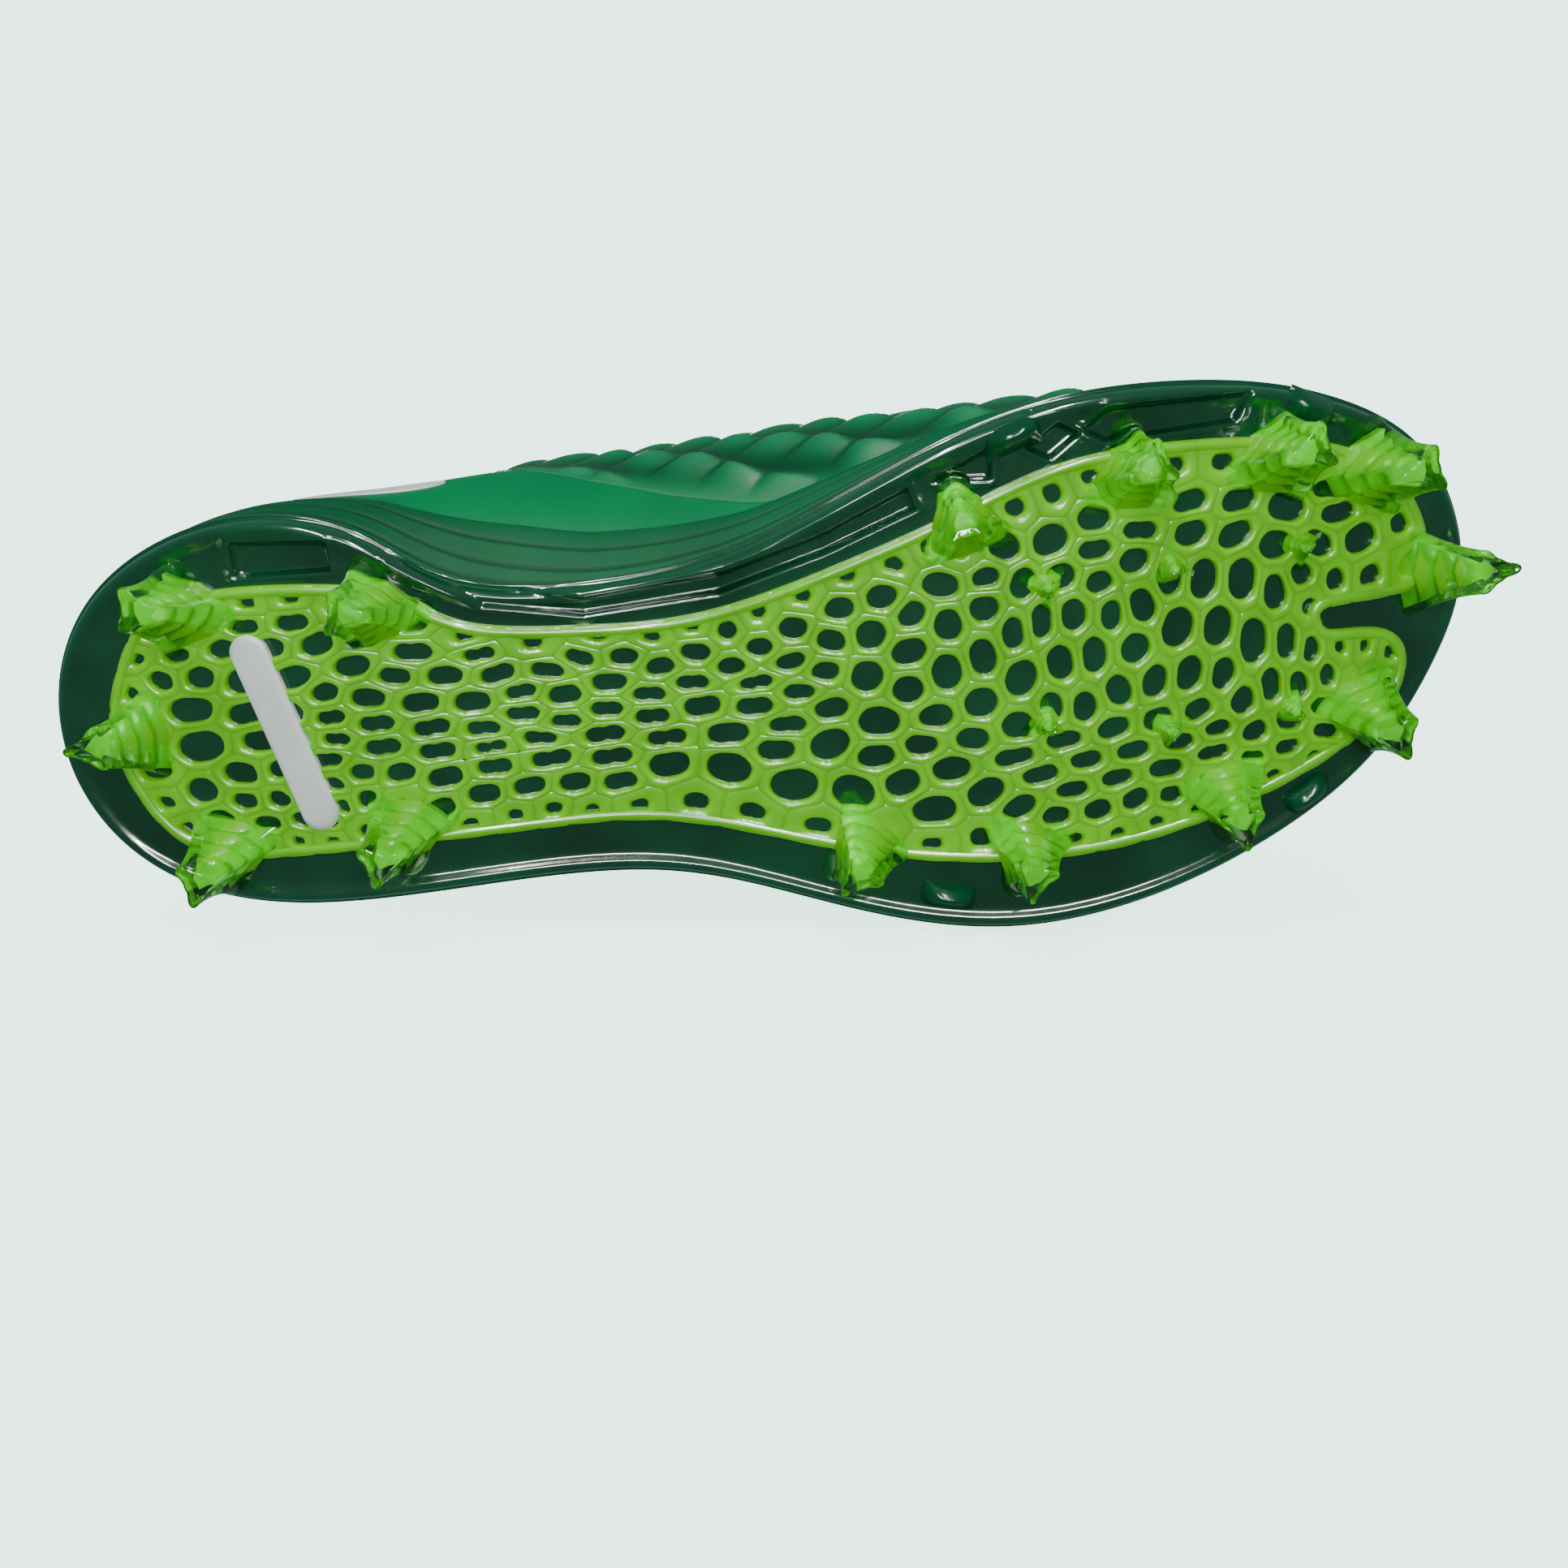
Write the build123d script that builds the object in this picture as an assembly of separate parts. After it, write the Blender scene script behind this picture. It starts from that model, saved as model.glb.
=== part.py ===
from build123d import *
import os
import numpy as np

# A left football boot standing on its studs, in millimetres.
# +X runs from heel to toe, +Y to the outer (lateral) side, +Z up.
# While it is modelled, x = 0 is near the back of the heel, y = 0 is the heel's
# centre line and z = 0 is the ground.  At the end everything is moved so that
# the origin is the bottom centre of the whole boot.

# ---------------------------------------------------------------- driving sizes
STUD_HEIGHT = 14.0          # ground to plate under the heel and the ball
PLATE_THICKNESS = 3.6       # rim of the moulded plate
WEB_THICKNESS = 1.6         # lattice set into the underside of the plate
BOARD_THICKNESS = 1.6       # lasting board
SOCKLINER_THICKNESS = 4.0   # removable insole
SKIN_THICKNESS = 1.8        # outer material of the upper
COUNTER_THICKNESS = 1.2     # stiffeners behind the heel and the toe
LINING_THICKNESS = 2.6      # padded lining inside the skin
RAND_HEIGHT = 15.0          # height of the moulded band above the plate
HOLE_MARGIN = 1.3           # least width of a strut of the lattice
CORE_TIP_HEIGHT = 3.2       # ground to the tip of a coloured stud core
TONGUE_CLEARANCE = 0.9      # each side of the tongue, in the throat
BADGE_THICKNESS = 0.7       # plain raised badges
FAR = 400.0                 # longer than the boot, for cutting solids

# Outline of the plate seen from below, from the back of the heel along the
# outer side to the toe, and back along the inner side.
OUTER_EDGE = [(-1.5, 0), (3, 18), (17, 32.5), (42, 40.3), (78, 41.5), (115, 43.5), (142, 51),
              (165, 59.3), (192, 64.3), (222, 61), (250, 51), (272, 37.5), (287, 20), (294, 0)]
INNER_EDGE = [(294, 0), (285, -23), (264, -36.7), (240, -42.7), (210, -43.5), (180, -36),
              (145, -23), (112, -18.8), (84, -23.3), (66, -35.5), (42, -40.5), (18, -33),
              (3.5, -18), (-1.5, 0)]

# Outline of the lattice: heel, waist, ball and two toe lobes around a slot.
WEB_EDGE = [(11, 1), (14, -11), (22, -22.5), (34, -27), (52, -26.5), (72, -22.5), (86, -14.5),
            (108, -10.6), (135, -10.3), (165, -17.3), (186, -24), (208, -31), (236, -32),
            (262, -28), (278, -18), (284, -5), (281, 3.2), (262, 4), (259, 6.8), (262, 9.5),
            (274, 11.5), (278, 20), (270, 30.5), (248, 40.5), (216, 48), (182, 47.5),
            (152, 41), (122, 32.3), (90, 30), (50, 29), (26, 26.5), (15, 16)]

# Height of the plate's underside above the ground, along the boot.
SOLE_LINE = [(-15, 19), (3, 15.2), (35, STUD_HEIGHT), (70, 14.8), (110, 18.5), (150, 17),
             (190, STUD_HEIGHT), (225, 14.6), (255, 18.2), (280, 24.6), (300, 33)]

# Cross-sections of the upper: station x, width of the foot of the wall outside
# and inside, widest line outside and inside, shoulder, ridge y and ridge z.
#            x    foot+  foot-  wide+  wide-  low z  ridge y  ridge z
SECTIONS = [(-2.2, 6, -6, 8, -8, 26, 0, 62),
            (1.0, 11, -11, 14, -14, 17, 0, 84),
            (6.0, 19, -19, 23, -23, 14, 0, 98),
            (18, 31, -31, 34, -34.5, 13, 0, 112),
            (42, 38.8, -39, 41.5, -41.5, 13, 1, 118),
            (70, 39.8, -31.5, 43, -42, 13, 2, 118),
            (100, 40.8, -18.5, 45, -43.5, 16, 3, 113),
            (125, 44.5, -18, 50, -44.5, 17, 4, 104),
            (155, 54.3, -24.8, 57.5, -45, 16, 6, 92),
            (185, 62, -36.5, 63.2, -45, 14, 7, 80),
            (212, 61.3, -42, 61.5, -44.8, 13.5, 7, 71),
            (240, 53.5, -41.2, 53.5, -42.5, 15, 5, 63),
            (262, 42.7, -35.8, 42.7, -37.5, 18, 2, 57.5),
            (278, 29, -27, 29.5, -28, 23, 1, 53),
            (287, 17, -18, 17.5, -18.5, 26, 0, 48),
            (291.6, 7, -8, 7.5, -8.5, 30, 0, 42)]

# Line of the collar seen from the side, and the throat seen from above as
# centre line x, y and half width.
COLLAR_LINE = [(-30, 86), (4, 85), (20, 80), (42, 72), (66, 70.5), (88, 80), (104, 99), (112, 125)]
THROAT = [(60, 2, 13.5), (108, 4, 13.5), (130, 5, 12), (155, 6, 9.5), (180, 7, 7.2), (198, 7, 4.5)]
EYESTAY_WIDTH = 13.0
EYELET_RADIUS = 2.1

# Perimeter studs: name, base x, y, tip x, y, height of the tip above ground.
STUDS = [("stud_heel_back", 17, -0.5, 12.5, -1, 0), ("stud_heel_inner", 33, -24, 28, -26.5, 0),
         ("stud_heel_outer", 31, 25.5, 27, 29, 0), ("stud_waist_inner", 70, -19.5, 67, -21, 0),
         ("stud_waist_outer", 68, 26, 64, 29.5, 0), ("stud_ball_inner_1", 188, -22, 186.5, -23.5, 0),
         ("stud_ball_inner_2", 221, -27, 223, -29.5, 0), ("stud_ball_inner_3", 249, -26.5, 252.5, -29, 0),
         ("stud_ball_inner_4", 269, -21.5, 274, -22, 2.5), ("stud_ball_outer_4", 266.5, 26, 268.5, 29, 2.5),
         ("stud_ball_outer_3", 237, 40, 236.5, 43, 0), ("stud_ball_outer_2", 195, 46.5, 194.5, 49, 0),
         ("stud_ball_outer_1", 161.5, 41.5, 159.5, 44, 0)]
BASE_RADIUS = 9.6
TIP_RADIUS = 3.6
CORE_SHARE = 0.6            # size of the core against its shell
BOOT_CENTRE = (155.0, 5.0)  # a corner of each stud points away from here

# Small grip studs inside the ball of the foot: x, y.
GRIP_STUDS = [(203, -8), (228, -8.5), (255, -9), (201, 20), (226, 24.5), (252, 24)]
GRIP_HEIGHT = 6.0
# Low fins moulded on the rim: name, x, y, length, turn in degrees.
FINS = [("rim_fin_outer_back", 178, 55.3, 12, 14), ("rim_fin_outer_front", 255.5, 43.2, 11, -28),
        ("rim_fin_inner_back", 199, -37.6, 12, -16), ("rim_fin_inner_front", 258.5, -35.2, 11, 26)]


BALL_CENTRE_X = 230.0     # the grip studs' blades point away from here
GRIP_TIP_RADIUS = 1.7
GRIP_BASE_RADIUS = 5.2
POCKET_DEPTH = 1.5
FIN_HEIGHT = 4.0
FIN_TIP_SHARE = 0.2       # half the tip's length as a share of the fin's
FIN_TIP_HALF = 0.7
FIN_FOOT_HALF = 2.4
BADGE_LENGTH = 44
BADGE_WIDTH = 9
BADGE_CENTRE = (46.5, 3)
BADGE_TURN = 78
EYELET_COUNT = 6
EYELET_FIRST_X = 114
EYELET_PITCH = 15.5
EYELET_INSET = 5.5        # from the throat's edge to the row of eyelets
TONGUE_SHELL_DEPTH = 1.4
TONGUE_FOAM_DEPTH = 4.4
TONGUE_DEPTH = 5.2

# ---------------------------------------------------------------- building aids
def samples(points, periodic):
    """Points along the smooth curve through the given plan points."""
    curve = Spline(*[(a, b) for a, b in points], periodic=periodic)
    return np.array([tuple(curve.position_at(u))[:2] for u in np.linspace(0, 1, 400)])


SOLE_CURVE = samples(SOLE_LINE, False)


def sole_height(x):
    """Height of the plate's underside at x."""
    return float(np.interp(x, SOLE_CURVE[:, 0], SOLE_CURVE[:, 1]))


def layer(low, high):
    """The space between two heights above the plate's underside, full width."""
    lower = Spline(*[(x, 0, z + low) for x, z in SOLE_LINE])
    upper = Spline(*[(x, 0, z + high) for x, z in SOLE_LINE])
    ends = [Line(lower @ 0, upper @ 0), Line(lower @ 1, upper @ 1)]
    profile = make_face([lower, upper] + ends)
    return extrude(profile, amount=FAR, dir=(0, 1, 0)).moved(Location((0, -FAR / 2, 0)))


def plan_prism(points, low=-20.0, high=200.0, smooth=True):
    """An outline seen from above, as an upright prism."""
    flat = [(x, y) for x, y in points]
    edge = Spline(*flat, periodic=True) if smooth else Polyline(*flat, close=True)
    return extrude(make_face(edge), amount=high - low).moved(Location((0, 0, low)))


def side_prism(edges, y_low=-FAR / 2, y_high=FAR / 2):
    """An outline seen from the side, as a prism across the boot."""
    solid = extrude(make_face(edges), amount=y_high - y_low, dir=(0, 1, 0))
    return solid.moved(Location((0, y_low, 0)))


def span(x_low, x_high, y_low=-FAR / 2, y_high=FAR / 2):
    """A tall block between two stations of the boot."""
    block = Box(x_high - x_low, y_high - y_low, FAR)
    return block.moved(Location(((x_low + x_high) / 2, (y_low + y_high) / 2, 0)))


def last(inset):
    """The closed form of the upper, moved inwards by inset all round."""
    rings = []
    middle = (SECTIONS[0][0] + SECTIONS[-1][0]) / 2
    reach = SECTIONS[-1][0] - middle
    for x, foot_out, foot_in, wide_out, wide_in, low, ridge_y, ridge_z in SECTIONS:
        offset = (x - middle) / reach
        station = x - inset * np.sign(offset) * abs(offset) ** 12
        feather = max(low, sole_height(x) + PLATE_THICKNESS) if low < 26 else low + 4
        height = ridge_z - inset - feather
        centre = (foot_out + foot_in) / 2
        crown = ridge_z - inset
        deeper = low - 3 * inset
        ring = [(centre, deeper - 6)]
        for side, foot, wide in ((1, foot_out, wide_out), (-1, foot_in, wide_in)):
            foot_y = foot - side * inset
            wide_y = wide - side * inset
            shoulder = ridge_y + 0.62 * (wide_y - ridge_y)
            half = [(centre + 0.8 * (foot_y - centre), deeper - 4), (foot_y, feather),
                    (wide_y, feather + 0.36 * height), (shoulder, crown - 0.14 * height)]
            ring = ring + half + [(ridge_y, crown)] if side > 0 else ring + half[::-1]
        edge = Spline(*[(station, y, z) for y, z in ring], periodic=True)
        rings.append(make_face(edge))
    return loft(rings)


def hull_of(low_ring, high_ring):
    """A straight-sided solid between two flat rings with equal counts."""
    faces = [make_face(Polyline(*ring, close=True)) for ring in (low_ring, high_ring)]
    return loft(faces, ruled=True)


def three_lobed(centre, z, radius, angle):
    """A triangle with cut corners, one of them pointing at angle."""
    ring = []
    for k in range(3):
        for shift in (-0.28, 0.28):
            a = angle + k * 2 * np.pi / 3 + shift
            ring.append((centre[0] + radius * np.cos(a), centre[1] + radius * np.sin(a), z))
    return ring


def inside(p, edge):
    """True for the points p that lie within the closed polygon edge."""
    q, r = edge, np.roll(edge, -1, 0)
    crosses = (q[:, 1] > p[:, None, 1]) != (r[:, 1] > p[:, None, 1])
    rise = np.where(r[:, 1] == q[:, 1], 1e-9, r[:, 1] - q[:, 1])
    at = q[:, 0] + (p[:, None, 1] - q[:, 1]) * (r[:, 0] - q[:, 0]) / rise
    return (crosses & (p[:, None, 0] < at)).sum(1) % 2 == 1


def spread_cells(outline):
    """Centres and half axes of the holes of the lattice.

    Seeds are moved again and again to the middle of the part of the outline
    nearest to them, where near is measured in a stretched metric, so that the
    cells become long at the waist and wide at the ball."""
    edge = samples(outline, True)
    step = 1.25
    gx, gy = np.meshgrid(np.arange(8, 288, step), np.arange(-36, 52, step))
    p = np.stack([gx.ravel(), gy.ravel()], 1)
    p = p[inside(p, edge)]
    length, width = cell_size(p[:, 0], p[:, 1])
    density = 1.0 / (length * width)
    count = int((density * step * step).sum())
    chosen = np.random.default_rng(3).choice(len(p), count, False, density / density.sum())
    seeds = p[chosen]
    for _ in range(40):
        delta = p[:, None] - seeds[None]
        near = (delta[..., 0] / length[:, None]) ** 2 + (delta[..., 1] / width[:, None]) ** 2
        owner = near.argmin(1)
        weight = np.bincount(owner, density, count)
        safe = np.maximum(weight, 1e-9)
        moved = [np.bincount(owner, density * p[:, k], count) / safe for k in (0, 1)]
        seeds = np.where(weight[:, None] > 0, np.stack(moved, 1), seeds)
    delta = p - seeds[owner]
    cells = []
    for k in range(count):
        mine = delta[owner == k]
        if len(mine) < 3:
            continue
        values, vectors = np.linalg.eigh(np.cov(mine.T) + np.eye(2) * step * step / 12)
        half = 1.8 * np.sqrt(values) - HOLE_MARGIN / 2
        if half[0] > 0.7:
            cells.append((*seeds[k], half[1], half[0], np.degrees(np.arctan2(*vectors[::-1, 1]))))
    return cells


# How the cells of the lattice grow along the boot: place, length and width.
CELL_ANCHORS = [(28, 2, 13, 9), (52, 5, 6, 5), (52, 20, 6, 5), (22, 20, 9, 6), (80, 2, 12, 5),
                (110, 4, 12, 4.2), (100, 20, 13, 8), (130, 24, 14, 9), (160, 28, 13, 11),
                (150, -3, 9, 7), (125, -6, 8, 6), (175, 0, 10, 10), (200, 6, 11, 12),
                (235, 10, 11, 15), (258, 18, 10, 9), (205, -18, 9, 5), (235, -20, 9, 4.5),
                (262, -14, 8, 7), (275, -4, 7, 9), (205, 30, 10, 5), (240, 32, 9, 4.5),
                (200, 42, 12, 8), (268, 18, 8, 8)]


def cell_size(x, y):
    """Wanted length and width of a cell at each place."""
    anchors = np.array(CELL_ANCHORS, float)
    gap = ((x[:, None] - anchors[:, 0]) / 16) ** 2 + ((y[:, None] - anchors[:, 1]) / 9) ** 2
    weight = np.exp(-gap / 2) + 1e-9
    weight /= weight.sum(1, keepdims=True)
    return weight @ anchors[:, 2], weight @ anchors[:, 3]


# ---------------------------------------------------------------- the outsole
parts = {}
plate_form = plan_prism(OUTER_EDGE[:-1] + INNER_EDGE[:-1])
web_form = plan_prism(WEB_EDGE)
above_sole = layer(0, FAR / 2)

cores = []
for name, base_x, base_y, tip_x, tip_y, tip_z in STUDS:
    angle = np.arctan2(base_y - BOOT_CENTRE[1], base_x - BOOT_CENTRE[0])
    top = sole_height(base_x) + WEB_THICKNESS
    shell = hull_of(three_lobed((tip_x, tip_y), tip_z, TIP_RADIUS, angle),
                    three_lobed((base_x, base_y), top + 3, BASE_RADIUS, angle)) - above_sole
    core = hull_of(three_lobed((tip_x, tip_y), tip_z + CORE_TIP_HEIGHT, TIP_RADIUS * CORE_SHARE, angle),
                   three_lobed((base_x, base_y), top, BASE_RADIUS * CORE_SHARE, angle))
    cores.append(core)
    parts[name] = shell - core

# The toe stud leans forward, in line with the boot.
toe_shell = hull_of(three_lobed((290.8, 0), 12, TIP_RADIUS, 0),
                    three_lobed((283.5, 0), 32, BASE_RADIUS, 0)) - above_sole
toe_core = hull_of(three_lobed((289.6, 0), 15, TIP_RADIUS * CORE_SHARE, 0),
                   three_lobed((282, 0), 27, BASE_RADIUS * CORE_SHARE, 0))
toe_core = toe_core & layer(-60, WEB_THICKNESS)
cores.append(toe_core)
parts["stud_toe"] = toe_shell - toe_core

web_edge = samples(WEB_EDGE, True)
turns = np.linspace(0, 2 * np.pi, 25)
taken = np.empty((0, 2))
holes = []
for x, y, half_long, half_wide, turn in spread_cells(WEB_EDGE):
    c, s = np.cos(np.radians(turn)), np.sin(np.radians(turn))
    along = (half_long + 0.2) * np.cos(turns)
    across = (half_wide + 0.2) * np.sin(turns)
    ring = np.stack([x + along * c - across * s, y + along * s + across * c], 1)
    near_stud = min(np.hypot(ring[:, 0] - t[1], ring[:, 1] - t[2]).min() for t in STUDS)
    clear = near_stud > BASE_RADIUS * CORE_SHARE and np.hypot(ring[:, 0] - 283, ring[:, 1]).min() > 7
    if clear and inside(ring, web_edge).all() and not inside(taken, ring).any():
        taken = np.vstack([taken, ring])
        holes.append(Wire(Pos(x, y) * Rot(0, 0, turn) * Edge.make_ellipse(half_long, half_wide)))
print("lattice holes", len(holes))
web_face = Face(Wire(Spline(*WEB_EDGE, periodic=True)), holes)
web = extrude(web_face, amount=60) & layer(0, WEB_THICKNESS)
web = web + cores
parts["web_insert"] = web

plate = (plate_form & layer(0, PLATE_THICKNESS)) - (web_form & layer(-5, WEB_THICKNESS)) - cores
# Weight-saving pockets in the inner rim: heel, waist channel and three windows.
POCKETS = [[(43, -35.5), (61, -33.5), (61, -28.5), (43, -29.5)],
           [(84, -21), (110, -16), (140, -18.5), (176, -29.5),
            (176, -26.5), (140, -15.5), (110, -13), (86, -18)],
           [(185, -34.5), (194, -35), (193, -30)],
           [(203, -38), (211, -38.5), (210, -33.5), (204, -33)],
           [(215, -40), (242, -39.5), (240, -35), (216, -35.5)]]
pocket_layer = layer(-5, POCKET_DEPTH)
for outline in POCKETS:
    plate = plate - (plan_prism(outline, smooth=False) & pocket_layer)
parts["outsole_plate"] = plate

for k, (x, y) in enumerate(GRIP_STUDS):
    angle = np.arctan2(y - BOOT_CENTRE[1], x - BALL_CENTRE_X)
    low = sole_height(x) - GRIP_HEIGHT
    grip = hull_of(three_lobed((x, y), low, GRIP_TIP_RADIUS, angle),
                   three_lobed((x, y), low + GRIP_HEIGHT + 2, GRIP_BASE_RADIUS, angle))
    parts["grip_stud_%d" % (k + 1)] = grip - above_sole

for name, x, y, length, turn in FINS:
    low = sole_height(x) - FIN_HEIGHT
    tip_x, tip_y, foot_x, foot_y = FIN_TIP_SHARE * length, FIN_TIP_HALF, length / 2, FIN_FOOT_HALF
    tip = [(i * tip_x, j * tip_y, low) for i, j in ((-1, -1), (1, -1), (1, 1), (-1, 1))]
    foot = [(i * foot_x, j * foot_y, low + FIN_HEIGHT + 3) for i, j in ((-1, -1), (1, -1), (1, 1), (-1, 1))]
    parts[name] = (Pos(x, y, 0) * Rot(0, 0, turn) * hull_of(tip, foot)) - above_sole

badge_slot = SlotOverall(BADGE_LENGTH, BADGE_WIDTH)
badge_plan = Pos(*BADGE_CENTRE, -20) * Rot(0, 0, BADGE_TURN) * extrude(badge_slot, amount=100)
parts["heel_badge"] = badge_plan & layer(-BADGE_THICKNESS, 0)

# ---------------------------------------------------------------- the upper
form_skin = last(0)
form_counter = last(SKIN_THICKNESS)
form_lining = last(SKIN_THICKNESS + COUNTER_THICKNESS)
form_foot = last(SKIN_THICKNESS + LINING_THICKNESS)

collar_edge = Spline(*[(x, 0, z) for x, z in COLLAR_LINE])
collar_rest = Polyline((112, 0, 125), (112, 0, 200), (-30, 0, 200), (-30, 0, 86))
collar_cut = side_prism([collar_edge, collar_rest])
throat_outer = [(x, y + w) for x, y, w in THROAT]
throat_inner = [(x, y - w) for x, y, w in THROAT][::-1]
throat_edges = [Spline(*throat_outer), ThreePointArc(throat_outer[-1], (203, 7), throat_inner[0]),
                Spline(*throat_inner), Line(throat_inner[-1], throat_outer[0])]
throat_cut = extrude(make_face(throat_edges), amount=160).moved(Location((0, 0, 48)))
under_plate_top = layer(-60, PLATE_THICKNESS)
opening = [collar_cut, throat_cut, under_plate_top]

skin = form_skin - form_counter - opening
between = form_counter - form_foot - opening
stiffener = form_counter - form_lining - opening

heel_zone = side_prism([Polyline((-30, 0, 0), (50, 0, 0), (46, 0, 62), (-30, 0, 66), (-30, 0, 0))])
toe_zone = span(262, 320)
parts["heel_counter"] = stiffener & heel_zone
parts["toe_puff"] = stiffener & toe_zone
lining = between - parts["heel_counter"] - parts["toe_puff"]
parts["lining_heel"] = lining & span(-30, 112)
parts["lining_forefoot"] = lining & span(112, 330)

board_top = PLATE_THICKNESS + BOARD_THICKNESS
liner_top = board_top + SOCKLINER_THICKNESS
parts["lasting_board"] = form_foot & layer(PLATE_THICKNESS, board_top)
parts["sockliner"] = form_foot & layer(board_top, liner_top)

# The skin is parted into its sewn and welded panels.
rand_zone = layer(PLATE_THICKNESS, PLATE_THICKNESS + RAND_HEIGHT)
rand = skin & rand_zone
cover = skin - rand_zone
HEEL_JOIN = 34.0
TOE_JOIN = 214.0
parts["rand_heel"] = rand & span(-30, HEEL_JOIN)
parts["rand_outer"] = rand & span(HEEL_JOIN, TOE_JOIN, 5, 200)
parts["rand_inner"] = rand & span(HEEL_JOIN, TOE_JOIN, -200, 5)
parts["rand_toe"] = rand & span(TOE_JOIN, 330)

stay_outer = [(x, y + w + EYESTAY_WIDTH) for x, y, w in THROAT[1:]]
stay_inner = [(x, y - w - EYESTAY_WIDTH) for x, y, w in THROAT[1:]][::-1]
stay_ring = [(80, THROAT[0][1] + 26)] + stay_outer + stay_inner + [(80, THROAT[0][1] - 26)]
stay_zone = plan_prism(stay_ring, 60, 160, smooth=False)
stays = cover & stay_zone
cover = cover - stay_zone
eyelets = []
for k in range(EYELET_COUNT):
    x = EYELET_FIRST_X + EYELET_PITCH * k
    y = float(np.interp(x, [t[0] for t in THROAT], [t[1] for t in THROAT]))
    w = float(np.interp(x, [t[0] for t in THROAT], [t[2] for t in THROAT]))
    for side in (1, -1):
        eyelets.append(Pos(x, y + side * (w + EYELET_INSET), 110) * Cylinder(EYELET_RADIUS, 110))
parts["eyestay_outer"] = (stays & span(60, 330, 5, 200)) - eyelets
parts["eyestay_inner"] = (stays & span(60, 330, -200, 5)) - eyelets
parts["heel_panel"] = cover & span(-30, HEEL_JOIN)
vamp_zone = side_prism([Polyline((176, 0, 0), (150, 0, 130), (330, 0, 130), (330, 0, 0), (176, 0, 0))])
middle = cover & span(HEEL_JOIN, 330)
parts["vamp"] = middle & vamp_zone
quarters = middle - vamp_zone
parts["quarter_outer"] = quarters & span(0, 330, 5, 200)
parts["quarter_inner"] = quarters & span(0, 330, -200, 5)

# ---------------------------------------------------------------- the tongue
TONGUE_LINE = [(84, 118.5), (96, 112.5), (112, 106), (140, 96), (170, 84), (199, 73)]


def tongue_layer(low, high):
    """A sheet that follows the throat, between two depths below its line."""
    upper = Spline(*[(x, 0, z - low) for x, z in TONGUE_LINE])
    lower = Spline(*[(x, 0, z - high) for x, z in TONGUE_LINE])
    ends = [Line(upper @ 0, lower @ 0), Line(upper @ 1, lower @ 1)]
    return side_prism([upper, lower] + ends)


tongue_ring = [(x, y + w - TONGUE_CLEARANCE) for x, y, w in THROAT[1:]]
tongue_ring = [(70, 17.5)] + tongue_ring
tongue_back = [(x, y - w + TONGUE_CLEARANCE) for x, y, w in THROAT[1:]][::-1] + [(70, -10)]
tongue_plan = plan_prism(tongue_ring + tongue_back, smooth=False)
parts["tongue_shell"] = tongue_layer(0, TONGUE_SHELL_DEPTH) & tongue_plan
parts["tongue_foam"] = tongue_layer(TONGUE_SHELL_DEPTH, TONGUE_FOAM_DEPTH) & tongue_plan
parts["tongue_lining"] = tongue_layer(TONGUE_FOAM_DEPTH, TONGUE_DEPTH) & tongue_plan

# ---------------------------------------------------------------- output
everything = Compound(children=[Compound(s.solids()) for s in parts.values()])
box = everything.bounding_box()
shift = Location((-(box.min.X + box.max.X) / 2, -(box.min.Y + box.max.Y) / 2, -box.min.Z))
print("size", box.size, "shift", shift.position)
os.makedirs("parts", exist_ok=True)
for name, solid in parts.items():
    solids = solid.solids()
    whole = solids[0] if len(solids) == 1 else Compound(solids)
    export_step(whole.moved(shift), "parts/%s.step" % name)
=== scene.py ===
"""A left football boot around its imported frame, laid out as a Blender add-on.

Shapes are worked out in millimetres in the boot's own modelling frame, where x
runs from the heel to the toe, y to the outer side and z up from the ground, and
are moved into the frame's metres when a mesh is made.
"""
import math

import bpy
import numpy as np
from bpy.props import FloatProperty, FloatVectorProperty, IntProperty
from mathutils import Matrix, Vector


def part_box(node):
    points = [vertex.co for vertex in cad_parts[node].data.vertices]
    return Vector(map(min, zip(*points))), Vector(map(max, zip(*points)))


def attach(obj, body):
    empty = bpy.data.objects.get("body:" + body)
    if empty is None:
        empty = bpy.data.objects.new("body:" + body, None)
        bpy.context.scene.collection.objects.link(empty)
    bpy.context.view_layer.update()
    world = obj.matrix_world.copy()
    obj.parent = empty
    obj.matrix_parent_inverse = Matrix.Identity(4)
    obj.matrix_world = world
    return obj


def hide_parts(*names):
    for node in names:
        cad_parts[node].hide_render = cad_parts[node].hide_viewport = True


bl_info = {
    "name": "Football boot",
    "version": (1, 0, 0),
    "blender": (4, 5, 0),
    "location": "3D View > Sidebar > Boot",
    "description": "Builds the looks of a studded football boot around its frame",
    "category": "Object",
}

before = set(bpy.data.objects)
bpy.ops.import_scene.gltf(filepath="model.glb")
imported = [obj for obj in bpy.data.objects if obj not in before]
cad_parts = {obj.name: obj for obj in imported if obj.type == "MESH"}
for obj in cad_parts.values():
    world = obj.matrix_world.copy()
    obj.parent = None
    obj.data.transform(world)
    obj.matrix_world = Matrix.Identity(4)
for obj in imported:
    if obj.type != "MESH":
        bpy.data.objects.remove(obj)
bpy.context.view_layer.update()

# Outline of the plate seen from below: out along the outer side, back along the inner.
OUTER_EDGE = [(-1.5, 0), (3, 18), (17, 32.5), (42, 40.3), (78, 41.5), (115, 43.5), (142, 51),
              (165, 59.3), (192, 64.3), (222, 61), (250, 51), (272, 37.5), (287, 20), (294, 0)]
INNER_EDGE = [(294, 0), (285, -23), (264, -36.7), (240, -42.7), (210, -43.5), (180, -36),
              (145, -23), (112, -18.8), (84, -23.3), (66, -35.5), (42, -40.5), (18, -33),
              (3.5, -18), (-1.5, 0)]
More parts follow.
